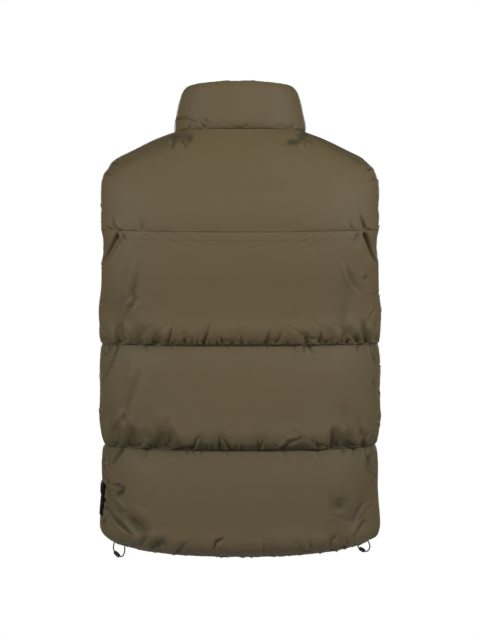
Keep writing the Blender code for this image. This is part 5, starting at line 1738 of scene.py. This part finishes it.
# ========================================================================== stitches
def stitch_row(points, normals, pitch=0.0033, length=0.0025, radius=0.00026, lift=0.00016):
    """Threads lying on a line of points, each sunk into the cloth at both ends. Returns points and faces."""
    run = np.concatenate([[0], np.cumsum(np.linalg.norm(np.diff(points, axis=0), axis=1))])
    centres = np.arange(pitch, run[-1] - pitch, pitch)
    if len(centres) == 0:
        return np.zeros((0, 3)), np.zeros((0, 4), int)
    rings = []
    for share, size, rise in ((-0.5, 0.45, -0.00022), (-0.27, 1.0, lift * 0.9), (0.27, 1.0, lift * 0.9), (0.5, 0.45, -0.00022)):
        at = centres + share * length
        p = np.stack([np.interp(at, run, points[:, k]) for k in range(3)], axis=-1)
        n = unit(np.stack([np.interp(at, run, normals[:, k]) for k in range(3)], axis=-1))
        ahead = np.stack([np.interp(at + 0.0005, run, points[:, k]) - np.interp(at - 0.0005, run, points[:, k]) for k in range(3)], axis=-1)
        t = unit(ahead)
        side = np.cross(n, t)
        ring = [p + n * rise + (side * math.cos(a) + n * math.sin(a)) * radius * size for a in np.arange(5) * math.pi * 0.4]
        rings.append(np.stack(ring, axis=1))
    verts = np.stack(rings, axis=1).reshape(-1, 3)
    block_faces = []
    for r in range(3):
        for k in range(5):
            block_faces.append((r * 5 + k, r * 5 + (k + 1) % 5, (r + 1) * 5 + (k + 1) % 5, (r + 1) * 5 + k))
    block_faces = np.array(block_faces)
    faces = (block_faces[None] + (np.arange(len(centres)) * 20)[:, None, None]).reshape(-1, 4)
    return verts, faces


def row_on(panel, edge, distance):
    """The line that runs along one edge of a panel at a distance from it: low, high, first or last."""
    final, normal = panel["final"], panel["final_normal"]
    across, up = arcs(final)
    out, out_n = [], []
    if edge in ("low", "high"):
        for k in range(final.shape[0]):
            d = up[k] if edge == "low" else up[k, -1] - up[k]
            order = np.argsort(d)
            out.append([np.interp(distance, d[order], final[k, order, c]) for c in range(3)])
            out_n.append([np.interp(distance, d[order], normal[k, order, c]) for c in range(3)])
    else:
        for k in range(final.shape[1]):
            d = across[:, k] if edge == "first" else across[-1, k] - across[:, k]
            order = np.argsort(d)
            out.append([np.interp(distance, d[order], final[order, k, c]) for c in range(3)])
            out_n.append([np.interp(distance, d[order], normal[order, k, c]) for c in range(3)])
    return np.array(out), unit(np.array(out_n))


badge_object, sewn_points, sewn_normals = badge()
rows = {"badge_stitches": [(sewn_points, sewn_normals)], "shell_stitches": []}
for word in ("left", "right"):
    for row in ROWS:
        rows["shell_stitches"].append(row_on(panels[f"front_{word}_{row}"], "first", 0.0052))
for row in ("hem", "middle"):
    for name in ("back_" + row, "front_left_" + row, "front_right_" + row):
        rows["shell_stitches"].append(row_on(panels[name], "high", 0.0016))
for name in ("back_upper", "front_left_upper", "front_right_upper"):
    rows["shell_stitches"].append(row_on(panels[name], "high", 0.0140))
for edge in ("first", "last"):
    rows["shell_stitches"].append(row_on(panels["collar"], edge, 0.0052))
for name, lines in rows.items():
    all_verts, all_faces, base = [], [], 0
    for points, normals in lines:
        verts, faces = stitch_row(points, normals)
        all_verts.append(verts)
        all_faces.append(faces + base)
        base += len(verts)
    mesh = filled_mesh(name, np.concatenate(all_verts), [np.concatenate(all_faces)])
    object_from(name, mesh, THREAD if name.startswith("shell") else BADGE_EDGE, "vest", "olive_shell" if name.startswith("shell") else "black_patch")


# =============================================================== stage and light
def disc(name, radius, height, sides=96):
    mesh = bpy.data.meshes.new(name)
    work = bmesh.new()
    bmesh.ops.create_circle(work, cap_ends=True, segments=sides, radius=radius)
    bmesh.ops.translate(work, vec=(0, 0, height), verts=work.verts)
    work.to_mesh(mesh)
    work.free()
    obj = bpy.data.objects.new(name, mesh)
    bpy.context.scene.collection.objects.link(obj)
    return obj


floor = disc("floor", 1.25, -1.50)
pale = new_material("pale_floor")
pale.node_tree.nodes["Principled BSDF"].inputs["Base Color"].default_value = (0.78, 0.78, 0.77, 1)
pale.node_tree.nodes["Principled BSDF"].inputs["Roughness"].default_value = 0.9
floor.data.materials.append(pale)


def soft_light(name, place, target, size, power):
    light = bpy.data.lights.new(name, "AREA")
    light.shape, light.size, light.energy = "DISK", size, power
    obj = bpy.data.objects.new(name, light)
    obj.location = place
    obj.rotation_euler = (Vector(target) - Vector(place)).to_track_quat("-Z", "Y").to_euler()
    bpy.context.scene.collection.objects.link(obj)
    return obj


MIDDLE = (0, 0, -0.31)
soft_light("key", (-2.70, 1.70, 1.12), MIDDLE, 1.1, 74)
soft_light("back_fill", (2.75, 1.70, 0.75), MIDDLE, 1.1, 63)
soft_light("back_top", (-0.20, 3.00, 1.25), MIDDLE, 1.1, 27.5)
soft_light("front_key", (0.95, -3.1, 0.42), MIDDLE, 1.1, 58)
soft_light("front_fill", (-1.05, -3.1, 0.28), MIDDLE, 1.1, 40)

world = bpy.data.worlds.new("studio")
bpy.context.scene.world = world
world.use_nodes = True
tree = world.node_tree
tree.nodes.clear()
out = tree.nodes.new("ShaderNodeOutputWorld")
lit, white = tree.nodes.new("ShaderNodeBackground"), tree.nodes.new("ShaderNodeBackground")
white.inputs["Color"].default_value = (1, 1, 1, 1)
white.inputs["Strength"].default_value = 1.0
direction = add(tree, "ShaderNodeTexCoord").outputs["Generated"]
split = add(tree, "ShaderNodeSeparateXYZ", i0=direction)
ramp = tree.nodes.new("ShaderNodeMapRange")
ramp.interpolation_type = "SMOOTHSTEP"
tree.links.new(split.outputs[2], ramp.inputs["Value"])
ramp.inputs["From Min"].default_value, ramp.inputs["From Max"].default_value = -0.6, 0.3
ramp.inputs["To Min"].default_value, ramp.inputs["To Max"].default_value = 0.05, 0.06
tree.links.new(ramp.outputs[0], lit.inputs["Strength"])
lit.inputs["Color"].default_value = (1.0, 0.99, 0.97, 1)
path = tree.nodes.new("ShaderNodeLightPath")
either = tree.nodes.new("ShaderNodeMixShader")
tree.links.new(path.outputs["Is Camera Ray"], either.inputs[0])
tree.links.new(lit.outputs[0], either.inputs[1])
tree.links.new(white.outputs[0], either.inputs[2])
tree.links.new(either.outputs[0], out.inputs["Surface"])
bpy.context.scene.view_settings.view_transform = "Standard"
bpy.context.scene.view_settings.look = "None"
